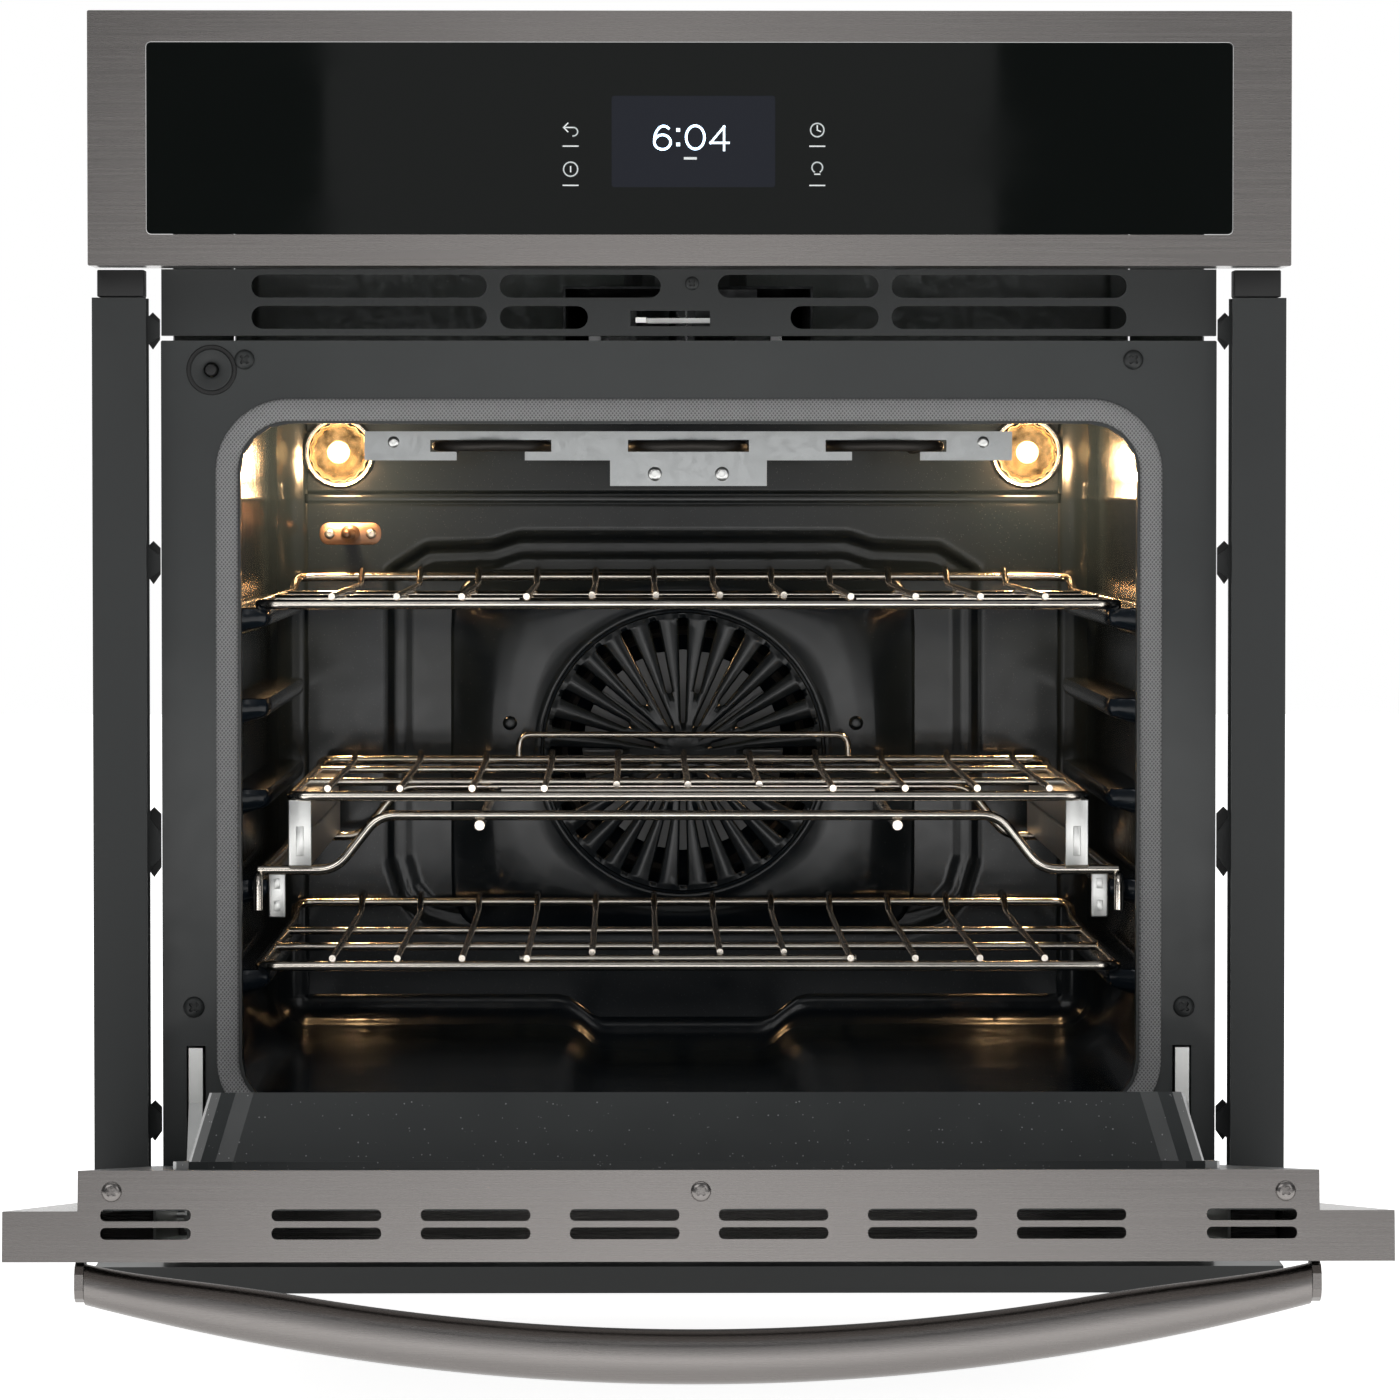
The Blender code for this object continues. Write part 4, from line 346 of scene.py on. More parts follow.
def knitted(name, colour):
    """Fine glass-fibre knit for the gasket: crossing threads at two slants."""
    material, tree, shader = new_material(name, {"Roughness": 0.85})
    threads = []
    for turn in (0.7, -0.7):
        inputs = {"Vector": place(tree, turn=(0, turn, 0)), "Scale": 190.0, "Distortion": 0.6}
        threads.append(add(tree, "TexWave", inputs).outputs["Fac"])
    weave = add(tree, "Math", {0: threads[0], 1: threads[1]}, operation="MAXIMUM").outputs[0]
    tint(tree, shader, weave, colour, 0.45, 1.25, 0.2, 1.0)
    bump(tree, shader, weave, 0.7, 0.0006)
    return material


# slot or look: (maker, settings after the name)
LOOKS = {
    "galvanised_steel": (galvanised, ((0.42, 0.43, 0.43),)),
    # painted shade: galvanised steel darkened for parts seen only in shade behind the vent slots
    "galvanised_shadow": (galvanised, ((0.045, 0.046, 0.047),)),
    "black_stainless": (brushed_metal, ((0.215, 0.201, 0.193), 0.26)),
    "bright_zinc": (brushed_metal, ((0.74, 0.74, 0.72), 0.30, (90, 90, 90), 0.06)),
    "aluminium_sheet": (brushed_metal, ((0.80, 0.80, 0.80), 0.28, (60, 60, 60))),
    # painted shade: the fan's steel darkened because it sits in shade behind the slotted guard
    "fan_steel": (brushed_metal, ((0.20, 0.20, 0.20), 0.42, (60, 60, 60))),
    "sensor_brass": (brushed_metal, ((0.42, 0.26, 0.18), 0.36, (40, 40, 40))),
    "nickel_wire": (plated_wire, ((0.80, 0.74, 0.66), 0.17)),
    "speckled_porcelain": (
        speckled_enamel, ((0.029, 0.032, 0.032), (0.26, 0.26, 0.26), 560.0, 0.24, 0.34, 0.15, 0.38)
    ),
    "cavity_enamel": (
        speckled_enamel, ((0.009, 0.014, 0.020), (0.05, 0.06, 0.07), 700.0, 0.22, 0.18, 0.2, 0.24)
    ),
    "dark_painted_steel": (plain_surface, ((0.024, 0.026, 0.026), 0.40)),
    "insulation_wool": (plain_surface, ((0.55, 0.48, 0.30), 0.95, 900.0, 0.002)),
    "circuit_board": (plain_surface, ((0.02, 0.12, 0.05), 0.5)),
    "black_plastic": (plain_surface, ((0.010, 0.010, 0.010), 0.45)),
    "heating_element": (plain_surface, ((0.055, 0.050, 0.045), 0.5, 400.0, 0.0001, 0.6)),
    "lamp_ceramic": (plain_surface, ((0.72, 0.70, 0.65), 0.6)),
    "woven_gasket": (knitted, ((0.26, 0.26, 0.26),)),
    "black_glass": (gloss_glass, ((0.004, 0.005, 0.0045), 0.03)),
    "clear_glass": (gloss_glass, ((0.80, 0.86, 0.83), 0.01, 1.0)),
    "display_window": (gloss_glass, ((0.012, 0.014, 0.021), 0.10)),
    "lamp_glass": (lamp_glass, ()),
    "lamp_filament": (glowing, ((1.0, 0.74, 0.42), 9.0)),
    "display_digits": (glowing, ((0.78, 0.90, 1.0), 1.0)),
    "icon_grey": (glowing, ((0.62, 0.64, 0.64), 0.35)),
}
# Nodes with another look than the rest of their slot: the latch base and the blower housing behind the vent slots,
# and the fan behind its guard, take darker copies of their metal as painted shade; the handle ends take the
# handle's black stainless, a darker finish than their slot
NODE_LOOKS = {
    "convection_fan": "fan_steel",
    "latch_base": "galvanised_shadow",
    "blower_housing": "galvanised_shadow",
    "handle_end_left": "black_stainless",
    "handle_end_right": "black_stainless",
}


def dress_cad_nodes():
    for name, obj in frame["nodes"].items():
        obj.data.materials.clear()
        obj.data.materials.append(MATERIALS[NODE_LOOKS.get(name, SLOT_OF[name])])


# ---------------------------------------------------------------- piece makers
def settle(obj, slot, body, nodes=(), material=None):
    """Puts a new piece into the scene, on its body, with the slot's material."""
    bpy.context.scene.collection.objects.link(obj)
    obj.data.materials.append(MATERIALS[material or slot])
    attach(obj, body)
    if nodes:
        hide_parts(*nodes)
    return obj


def mesh_piece(name, bm, slot, body="root", nodes=(), smooth=35, material=None, opened=False):
    if opened:
        bm.transform(OPENED)
    bmesh.ops.recalc_face_normals(bm, faces=bm.faces)
    mesh = bpy.data.meshes.new(name)
    bm.to_mesh(mesh)
    bm.free()
    mesh.shade_smooth()
    mesh.set_sharp_from_angle(angle=math.radians(smooth))
    return settle(bpy.data.objects.new(name, mesh), slot, body, nodes, material)


def thicken(obj, thickness, offset=1.0):
    solid = obj.modifiers.new("thickness", "SOLIDIFY")
    solid.thickness = thickness
    solid.offset = offset
    return obj


def rounded(points, radius, steps=6, closed=False):
    """The path with each corner turned as a smooth bend."""
    points = [Vector(p) for p in points]
    count = len(points)
    path = []
    for i, corner in enumerate(points):
        if not closed and i in (0, count - 1):
            path.append(corner)
            continue
        before, after = points[i - 1], points[(i + 1) % count]
        room = min((before - corner).length, (after - corner).length) / 2
        reach = min(radius, room)
        start = corner + (before - corner).normalized() * reach
        stop = corner + (after - corner).normalized() * reach
        for k in range(steps + 1):
            t = k / steps
            path.append(start.lerp(corner, t).lerp(corner.lerp(stop, t), t))
    return path


def wire_piece(name, runs, slot, body="root", nodes=(), resolution=3, opened=False):
    """Round wires: runs holds (path, radius, closed)."""
    curve = bpy.data.curves.new(name, "CURVE")
    curve.dimensions = "3D"
    curve.bevel_depth = 0.001
    curve.bevel_resolution = resolution
    curve.use_fill_caps = True
    for path, radius, closed in runs:
        spline = curve.splines.new("POLY")
        spline.points.add(len(path) - 1)
        spline.use_cyclic_u = closed
        spline.use_smooth = True
        for point, place_ in zip(spline.points, path):
            co = OPENED @ Vector(place_) if opened else Vector(place_)
            point.co = (*co, 1)
            point.radius = radius / 0.001
    return settle(bpy.data.objects.new(name, curve), slot, body, nodes)


def loft(bm, rows, closed=True, caps=True):
    """Skins through rows of points, with the end rows filled if caps."""
    rows = [[bm.verts.new(point) for point in row] for row in rows]
    for first, second in zip(rows, rows[1:]):
        skin(bm, first, second, closed)
    if caps:
        for row in (rows[0], rows[-1]):
            if len(row) > 2:
                bm.faces.new(row)


def box_between(bm, x, y, z, bevel=0.0):
    made = bmesh.ops.create_cube(bm, size=1.0)["verts"]
    low = Vector((min(x), min(y), min(z)))
    high = Vector((max(x), max(y), max(z)))
    size, middle = high - low, (high + low) / 2
    for vertex in made:
        vertex.co = Vector([vertex.co[i] * size[i] + middle[i] for i in range(3)])
    if bevel:
        edges = list({edge for vertex in made for edge in vertex.link_edges})
        bmesh.ops.bevel(bm, geom=edges, offset=bevel, segments=3, profile=0.5, affect="EDGES")


def turned(centre, axis, radius, along, angle):
    """The point this far out and along from the centre, at this angle round the unit axis."""
    across = axis.orthogonal().normalized()
    out = across * math.cos(angle) + axis.cross(across) * math.sin(angle)
    return Vector(centre) + axis * along + out * radius


def lathe(bm, centre, axis, profile, sides=32, close=True):
    """Turns (radius, along) points round an axis through centre; axis is a unit vector."""
    axis = Vector(axis)
    angles = [2 * math.pi * i / sides for i in range(sides)]
    rows = []
    for radius, along in profile:
        around = angles if radius else angles[:1]
        rows.append([turned(centre, axis, radius, along, angle) for angle in around])
    loft(bm, rows, caps=close)


def skin(bm, first, second, closed=False):
    """Faces between two rows of vertices; either row may be one point."""
    if len(first) == 1 or len(second) == 1:
        point, row = (first[0], second) if len(first) == 1 else (second[0], first)
        for i in range(len(row)):
            bm.faces.new((point, row[i], row[(i + 1) % len(row)]))
        return
    count = len(first)
    for i in range(count if closed else count - 1):
        k = (i + 1) % count
        bm.faces.new((first[i], first[k], second[k], second[i]))


# (share of the radius, share of the height, 1 where the recess shapes the ring)
SCREW_PROFILE = (
    (1.0, -0.10, 0), (1.0, 0.30, 0), (0.93, 0.62, 0), (0.76, 0.88, 0),
    (0.52, 1.0, 0), (0.40, 1.0, 1), (0.36, 0.30, 1),
)
SCREW_SIDES = 24
SCREW_HEIGHT_SHARE = 0.45


def pan_screw(bm, centre, axis, radius, lobes=6):
    """A pan-head screw with a six-lobed recess, or a cross recess when lobes is 4."""
    depth = 0.14 if lobes == 6 else 0.42
    axis = Vector(axis).normalized()
    rows = []
    for share, rise, lobed in SCREW_PROFILE:
        row = []
        for i in range(SCREW_SIDES):
            angle = 2 * math.pi * i / SCREW_SIDES
            reach = share * radius * (1 + depth * lobed * math.cos(lobes * angle))
            row.append(turned(centre, axis, reach, rise * SCREW_HEIGHT_SHARE * radius, angle))
        rows.append(row)
    loft(bm, rows)


def screws_piece(name, places, axis, slot="bright_zinc", body="root", opened=False, lobes=6):
    bm = bmesh.new()
    for centre, radius in places:
        pan_screw(bm, centre, axis, radius, lobes)
    return mesh_piece(name, bm, slot, body, smooth=30, opened=opened)


def oval(centre, half_x, half_z, start=0, stop=360, steps=28):
    """Points along an oval from one angle to another, in degrees."""
    points = []
    for i in range(steps + 1):
        angle = math.radians(start + (stop - start) * i / steps)
        points.append((centre[0] + half_x * math.cos(angle), centre[1] + half_z * math.sin(angle)))
    return points


def rounded_rect(x, z, radius, steps=6):
    """Points (x, z) round a rectangle, anticlockwise from its lower right corner."""
    low_x, high_x, low_z, high_z = x[0] + radius, x[1] - radius, z[0] + radius, z[1] - radius
    corners = ((high_x, low_z, -90), (high_x, high_z, 0), (low_x, high_z, 90), (low_x, low_z, 180))
    points = []
    for cx, cz, start in corners:
        points += oval((cx, cz), radius, radius, start, start + 90, steps)
    return points


def slab(bm, outline, front, back):
    """A flat piece with this (x, z) outline between two depths."""
    loft(bm, [[(x, y, z) for x, z in outline] for y in (front, back)])


def middle_of(node):
    low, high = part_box(node)
    return (low + high) / 2


def smoothstep(value, low, high):
    t = min(1.0, max(0.0, (value - low) / (high - low)))
    return t * t * (3 - 2 * t)


def span_of(start, stop, count):
    return [start + (stop - start) * i / (count - 1) for i in range(count)]


# ---------------------------------------------------------------- oven cavity
CORNER = 0.025
TOP_CORNER = 0.006
WELL_HALF = 0.052
WELL_SLOPE = 0.028
LEDGE_TOPS = [0.112 + 0.053 * i for i in range(6)]
LEDGE_FRONT = -0.240
LEDGE_BACK = 0.1695
SEAM_Z = 0.441
LEDGE_PROFILE = (
    (-0.0175, 0.0), (-0.0140, 0.0035), (-0.0105, 0.0160), (-0.0085, 0.0215), (-0.0060, 0.0228),
    (-0.0020, 0.0230), (-0.0003, 0.0222), (-0.0001, 0.0190), (0.0000, 0.0060), (0.0012, 0.0015),
    (0.0040, 0.0),
)
SEAM_PROFILE = ((-0.003, 0), (-0.001, 0.0009), (0.001, 0.0009), (0.003, 0))
LINER_SHEET = 0.0012


def wall_profile():
    """(z, inward reach of the ledges, inward reach of the seam) up one side wall."""
    low, high = CAVITY_FLOOR + CORNER, CAVITY_TOP - TOP_CORNER
    rows = [(low, 0.0, 0.0)]
    for top in LEDGE_TOPS:
        rows += [(top + dz, reach, 0.0) for dz, reach in LEDGE_PROFILE if top + dz > low]
    rows += [(SEAM_Z + dz, 0.0, reach) for dz, reach in SEAM_PROFILE]
    rows += [(z, 0.0, 0.0) for z in span_of(SEAM_Z + 0.010, high, 5)]
    return rows


def cavity_section(y, pressed, inset):
    """One loop round the cavity at y; pressed is how far the ledges stand out there."""
    half = CAVITY_HALF
    arc_x, arc_z = CORNER - inset, TOP_CORNER * (1 - inset / CORNER)
    right = []
    for x in span_of(0, half - CORNER, 34):
        dip = (CAVITY_FLOOR - WELL_FLOOR) * (1 - smoothstep(x, WELL_HALF, WELL_HALF + WELL_SLOPE))
        right.append((x, CAVITY_FLOOR - dip + inset))
    right += oval((half - CORNER, CAVITY_FLOOR + CORNER), arc_x, arc_x, -90, 0, 8)[1:-1]
    for z, ledge, seam in wall_profile():
        right.append((half - inset - ledge * pressed - seam * (1 - inset / CORNER), z))
    right += oval((half - CORNER, CAVITY_TOP - TOP_CORNER), arc_x, arc_z, 0, 90, 8)[1:-1]
    ceiling = CAVITY_TOP - TOP_CORNER + arc_z
    right += [(x, ceiling) for x in span_of(half - CORNER, 0, 8)]
    left = [(-x, z) for x, z in reversed(right[1:-1])]
    return [(x, y, z) for x, z in right + left]


def make_cavity_liner():
    rise = (LEDGE_FRONT - 0.006, LEDGE_FRONT + 0.006)
    fall = (LEDGE_BACK - 0.006, LEDGE_BACK + 0.003)
    stations = [(CAVITY_FRONT, 0.0, 0.0), (LEDGE_FRONT - 0.008, 0.0, 0.0)]
    stations += [(y, smoothstep(y, *rise), 0.0) for y in span_of(*rise, 7)]
    stations += [(y, 1.0, 0.0) for y in span_of(LEDGE_FRONT + 0.04, LEDGE_BACK - 0.012, 8)]
    stations += [(y, 1 - smoothstep(y, *fall), 0.0) for y in span_of(*fall, 6)]
    for i in range(11):
        angle = math.radians(9 * i)
        y = CAVITY_BACK - CORNER + CORNER * math.sin(angle)
        stations.append((y, 0.0, CORNER * (1 - math.cos(angle)) * 0.9999))
    bm = bmesh.new()
    loft(bm, [cavity_section(*station) for station in stations], caps=False)
    walls = ("cavity_floor", "cavity_ceiling", "cavity_wall_left", "cavity_wall_right")
    thicken(mesh_piece("cavity_liner", bm, "cavity_enamel", nodes=walls, smooth=50), LINER_SHEET, -1.0)


FAN_X = 0.0
FAN_HOLE = 0.096
FAN_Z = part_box("fan_cover")[0].z + (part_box("fan_cover")[1].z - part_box("fan_cover")[0].z) / 2
WELL_RADIUS = 0.088
WELL_DEPTH = 0.035
RECESS_OUTLINE = (
    (-0.191, 0.205), (-0.1905, 0.394), (-0.1666, 0.4086), (-0.1247, 0.4099), (-0.1071, 0.4155),
    (0.1071, 0.4155), (0.1247, 0.4099), (0.1666, 0.4086), (0.1905, 0.394), (0.191, 0.205),
    (0.184, 0.181), (0.170, 0.166), (0.148, 0.159), (-0.148, 0.159), (-0.170, 0.166), (-0.184, 0.181),
)


def depth_inside(px, pz, outline):
    """Signed distance to the outline for arrays of points, positive inside."""
    best = np.full(px.shape, 1e9)
    inside = np.zeros(px.shape, bool)
    for (ax, az), (bx, bz) in zip(outline, outline[1:] + outline[:1]):
        ex, ez = bx - ax, bz - az
        t = np.clip(((px - ax) * ex + (pz - az) * ez) / (ex * ex + ez * ez), 0, 1)
        best = np.minimum(best, np.hypot(px - ax - t * ex, pz - az - t * ez))
        crosses = (az > pz) != (bz > pz)
        with np.errstate(divide="ignore", invalid="ignore"):
            at = ax + (pz - az) * ex / (ez if ez else 1e-12)
        inside ^= crosses & (px < at)
    return np.where(inside, best, -best)


def ramp(values, low, high):
    t = np.clip((values - low) / (high - low), 0, 1)
    return t * t * (3 - 2 * t)


def make_cavity_rear():
    """The back wall with its stamped recess round the fan cover."""
    half = CAVITY_HALF - CORNER + 0.0015
    xs = np.array(span_of(-half, half, 210))
    zs = sorted(
        span_of(WELL_FLOOR + CORNER - 0.001, CAVITY_TOP - 0.002, 168)
        + [SEAM_Z + dz for dz in (-0.0032, -0.0012, 0.0012, 0.0032)]
    )
    px, pz = np.meshgrid(xs, np.array(zs))
    depth = depth_inside(px, pz, RECESS_OUTLINE)
    recess = 0.0040 * ramp(depth, -0.004, 0.003) + 0.0016 * ramp(depth, 0.009, 0.014)
    seam = -0.0009 * (1 - ramp(np.abs(pz - SEAM_Z), 0.0012, 0.0032))
    rise = recess + seam * (depth < 0)
    bm = bmesh.new()
    loft(bm, np.stack((px, CAVITY_BACK + 0.0001 + rise, pz), axis=2), closed=False, caps=False)
    well = [face for face in bm.faces if fan_distance(face.calc_center_median()) < FAN_HOLE]
    bmesh.ops.delete(bm, geom=well, context="FACES")
    rear = mesh_piece("cavity_rear", bm, "cavity_enamel", nodes=("cavity_back",), smooth=60)
    thicken(rear, LINER_SHEET, -1.0)
    bm = bmesh.new()
    radius, deep = WELL_RADIUS, CAVITY_BACK + WELL_DEPTH
    profile = (
        (radius + 0.012, CAVITY_BACK + 0.0070), (radius, CAVITY_BACK + 0.0085),
        (radius, deep - 0.004), (radius - 0.004, deep), (0.009, deep),
    )
    lathe(bm, (FAN_X, 0, FAN_Z), (0, 1, 0), profile, 64, close=False)
    thicken(mesh_piece("fan_well", bm, "cavity_enamel", smooth=50), 0.001)


def fan_distance(point):
    return math.hypot(point.x - FAN_X, point.z - FAN_Z)


GUARD = 0.0934
GUARD_PAIRS = 14
SLOT_OUT = 0.94 * GUARD
LONG_IN, SHORT_IN = 0.20 * GUARD, 0.42 * GUARD
SLOT_LIP = 0.0011
PLATE_HALF, PLATE_TALL, PLATE_CORNER = 0.1515, 0.119, 0.030
GUARD_BEAD = (
    (0.0900, -0.0006), (0.0908, 0.0006), (0.0930, 0.0008), (0.0938, -0.0006),
    (0.0950, -0.0008), (0.0965, -0.0002), (0.0978, 0.0),
)
# (share of the way from the guard to the plate's edge, depth)
DISH_PROFILE = (
    (0.12, 0), (0.30, 0), (0.48, 0.0001), (0.58, 0.0008),
    (0.72, 0.0028), (0.86, 0.0048), (0.96, 0.0058), (1.0, 0.0060),
)
COVER_SCREW_X, COVER_SCREW_RISE, COVER_SCREW = 0.113, 0.0187, 0.0048


def slot_half(radius, inner):
    """Half the width of a guard slot at this radius: it widens outwards and has rounded ends."""
    wide = 0.0018 + 0.0018 * (radius - LONG_IN) / (SLOT_OUT - LONG_IN)
    from_end = min(radius - inner, SLOT_OUT - radius)
    t = min(1.0, max(0.0, from_end / 0.0018))
    return wide * (0.5 + 0.5 * math.sqrt(1 - (1 - t) ** 2))


def guard_angles(radius):
    """(angle from a long slot's centre, at a slot's edge) over one long and one short slot."""
    unit = math.pi / GUARD_PAIRS
    long_edge = min(slot_half(radius, LONG_IN) / radius, 0.55 * unit)
    long_lip = min(long_edge + SLOT_LIP / radius, 0.75 * unit)
    short_edge = min(slot_half(radius, SHORT_IN) / radius, 0.5 * (unit - long_lip))
    short_lip = min(short_edge + SLOT_LIP / radius, 0.8 * (unit - long_lip))
    half = [
        (0.0, 0), (long_edge, 1), (long_lip, 0), ((long_lip + unit - short_lip) / 2, 0),
        (unit - short_lip, 0), (unit - short_edge, 2), (unit, 0),
    ]
    return half + [(2 * unit - angle, edge) for angle, edge in reversed(half[1:-1])]


def guard_columns(radius):
    angles = []
    for pair in range(GUARD_PAIRS):
        start = math.pi / 2 + 2 * math.pi * pair / GUARD_PAIRS
        angles += [(start + angle, edge) for angle, edge in guard_angles(radius)]
    return angles


def plate_reach(outline, angle):
    """How far the plate's outline is from its centre at this angle."""
    c, s = math.cos(angle), math.sin(angle)
    best = 1.0
    for (ax, az), (bx, bz) in zip(outline, outline[1:] + outline[:1]):
        cross = c * (bz - az) - s * (bx - ax)
        if abs(cross) < 1e-12:
            continue
        t = (ax * (bz - az) - az * (bx - ax)) / cross
        u = (ax * s - az * c) / cross
        if t > 0 and -1e-9 <= u <= 1 + 1e-9:
            best = min(best, t)
    return best


def make_fan_cover():
    """The dished cover plate with a slotted round guard in its middle."""
    front = CAVITY_BACK - GAP - 0.0020
    ends = (0.0, 0.0004, 0.0018)
    radii = [0.006, 0.012]
    radii += [LONG_IN + d for d in ends] + [0.026, 0.033] + [SHORT_IN + d for d in ends]
    radii += [0.048, 0.056, 0.064, 0.073, 0.081] + [SLOT_OUT - d for d in reversed(ends)]
    rings = [(radius, -0.0008) for radius in radii] + list(GUARD_BEAD)
    last = rings[-1][0]
    bm = bmesh.new()

    def point(reach, angle, rise):
        x, z = FAN_X + reach * math.cos(angle), FAN_Z + reach * math.sin(angle)
        return bm.verts.new((x, front + rise, z))

    made = []
    for radius, rise in rings:
        row = []
        for angle, edge in guard_columns(radius):
            inner = SHORT_IN if edge == 2 else LONG_IN
            lip = 0.0006 if edge and inner - 1e-6 <= radius <= SLOT_OUT + 1e-6 else 0.0
            row.append(point(radius, angle, rise + lip))
        made.append(row)
    outline = rounded_rect((-PLATE_HALF, PLATE_HALF), (-PLATE_TALL, PLATE_TALL), PLATE_CORNER, 10)
    edges = [(angle, plate_reach(outline, angle)) for angle, _ in guard_columns(last)]
    for share, rise in DISH_PROFILE:
        made.append([point(last + (reach - last) * share, angle, rise) for angle, reach in edges])
    skin(bm, [point(0, 0, -0.0008)], made[0])
    count, per_pair = len(made[0]), len(made[0]) // GUARD_PAIRS
    for j, (first, second) in enumerate(zip(made, made[1:])):
        radius = rings[j][0] if j < len(rings) else last
        for i in range(count):
            column = i % per_pair
            long_slot = column in (0, per_pair - 1) and radius > LONG_IN - 1e-6
            short_slot = column in (per_pair // 2 - 1, per_pair // 2) and radius > SHORT_IN - 1e-6
            if (long_slot or short_slot) and radius < SLOT_OUT - 1e-6:
                continue
            k = (i + 1) % count
            bm.faces.new((first[i], first[k], second[k], second[i]))
    cover = mesh_piece("fan_cover_plate", bm, "cavity_enamel", nodes=("fan_cover",), smooth=40)
    thicken(cover, 0.0010, -1.0)
    places = [
        ((FAN_X + sign * COVER_SCREW_X, front - 0.0002, FAN_Z + COVER_SCREW_RISE), COVER_SCREW)
        for _, sign in SIDES
    ]
    screws_piece("fan_cover_screws", places, (0, -1, 0), slot="cavity_enamel")


# ---------------------------------------------------------------- heating elements, lamps, sensor
BROIL_LOOP, BROIL_PITCH = 0.064, 0.116


def serpentine(z, front, back):
    """The element's path: three loops at the front joined by turns at the back."""
    radius = BROIL_LOOP / 2
    legs = [i * BROIL_PITCH + side * radius for i in (-1, 0, 1) for side in (-1, 1)]
    turn = (BROIL_PITCH - BROIL_LOOP) / 2
    path = [(legs[0], back + 0.030)]
    for i in range(0, 6, 2):
        path += oval((legs[i] + radius, front + radius), radius, radius, 180, 360, 16)
        if i < 4:
            path += oval((legs[i + 1] + turn, back - turn), turn, turn, 180, 0, 8)
    path.append((legs[-1], back + 0.030))
    return [(x, y, z) for x, y in path]


# (distance from the middle, height, radius)
BRACKET_SCREWS = ((0.0197, 0.4565, 0.0042), (0.173, 0.4752, 0.0034))


def make_broil_parts():
    low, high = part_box("broil_element")
    rod = (high.z - low.z) / 2
    path = serpentine(low.z + rod, low.y + rod, high.y - 0.030)
    wire_piece("broil_rod", [(path, rod, False)], "heating_element", nodes=("broil_element",), resolution=4)
    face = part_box("broil_bracket")[0].y
    places = [((sign * x, face, z), radius) for x, z, radius in BRACKET_SCREWS for _, sign in SIDES]
    screws_piece("bracket_screws", places, (0, -1, 0))


DOME_FLUTES, DOME_FLUTE_DEPTH = 16, 0.05
DOME_NECK = 0.012
BULB_PROFILE = (
    (0.0040, -0.001), (0.0042, -0.006), (0.0064, -0.010), (0.0072, -0.014),
    (0.0064, -0.018), (0.0040, -0.0215), (0, -0.0225),
)
COLLAR_PROFILE = (
    (0.0200, -0.0005), (0.0200, 0.0040), (0.0208, 0.0052), (0.0222, 0.0052),
    (0.0236, 0.0030), (0.0240, -0.0005), (0.0200, -0.0005),
)


def make_lamps():
    for side, _ in SIDES:
        low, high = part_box(f"lamp_lens_{side}")
        seat = Vector(((low.x + high.x) / 2, high.y, (low.z + high.z) / 2))
        radius = (high.x - low.x) / 2
        profile = [(radius, 0), (radius, -0.008)]
        dome = oval((0, -DOME_NECK), radius * 0.985, high.y - low.y - DOME_NECK, 0, -90, 8)
        profile += dome[:-1] + [(0, dome[-1][1])]
        bm = bmesh.new()
        lathe(bm, seat, (0, 1, 0), profile, 80, close=False)
        for vertex in bm.verts:
            away = Vector((vertex.co.x - seat.x, 0, vertex.co.z - seat.z))
            if away.length > 1e-5:
                flute = 0.5 + 0.5 * math.cos(DOME_FLUTES * math.atan2(away.z, away.x))
                away *= 1 - DOME_FLUTE_DEPTH * flute
                vertex.co.x, vertex.co.z = seat.x + away.x, seat.z + away.z
        dome = mesh_piece(f"lamp_dome_{side}", bm, "lamp_glass", nodes=(f"lamp_lens_{side}",), smooth=60)
        thicken(dome, 0.0012, -1.0)
        bm = bmesh.new()
        lathe(bm, seat, (0, 1, 0), BULB_PROFILE, 24)
        mesh_piece(f"lamp_bulb_{side}", bm, "lamp_glass", material="lamp_filament", smooth=60)
        bm = bmesh.new()
        lathe(bm, seat, (0, -1, 0), COLLAR_PROFILE, 48, close=False)
        mesh_piece(f"lamp_collar_{side}", bm, "nickel_wire", smooth=50)


PROBE_PROFILE = (
    (0.0062, 0), (0.0062, 0.003), (0.0034, 0.0045), (0.0032, 0.052),
    (0.0028, 0.0560), (0.0016, 0.0580), (0, 0.0585),
)


def make_sensor():
    low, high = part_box("temperature_sensor")
    middle = (low + high) / 2
    face = high.y - 0.0015
    outline = rounded_rect((low.x, high.x), (low.z, high.z), 0.0060)
    rows = []
    for shrink, y in ((0, high.y), (0, face + 0.0004), (0.0004 / 0.0072, face)):
        centre = Vector((middle.x, y, middle.z))
        rows.append([Vector((x, y, z)).lerp(centre, shrink) for x, z in outline])
    bm = bmesh.new()
    loft(bm, rows)
    lathe(bm, (middle.x, face, middle.z), (0, -1, 0), PROBE_PROFILE, 24)
    mesh_piece("sensor_plate", bm, "sensor_brass", nodes=("temperature_sensor",), smooth=40)
    places = [((middle.x + sign * 0.0135, face, middle.z), 0.0034) for _, sign in SIDES]
    screws_piece("sensor_screws", places, (0, -1, 0))


# ---------------------------------------------------------------- racks
ROD = 0.003
RAIL = 0.0025
TINE = 0.002
SINK = 0.0004
SHORT_RAIL = 0.050
RACK_SETBACK = 0.040
RACK_REAR_GAP = 0.0145
RACK_HALF, RACK_EDGE, RACK_TINES = 0.252, 0.0433, 12
GLIDE_HALF, GLIDE_EDGE, GLIDE_TINES = 0.233, 0.02165, 11


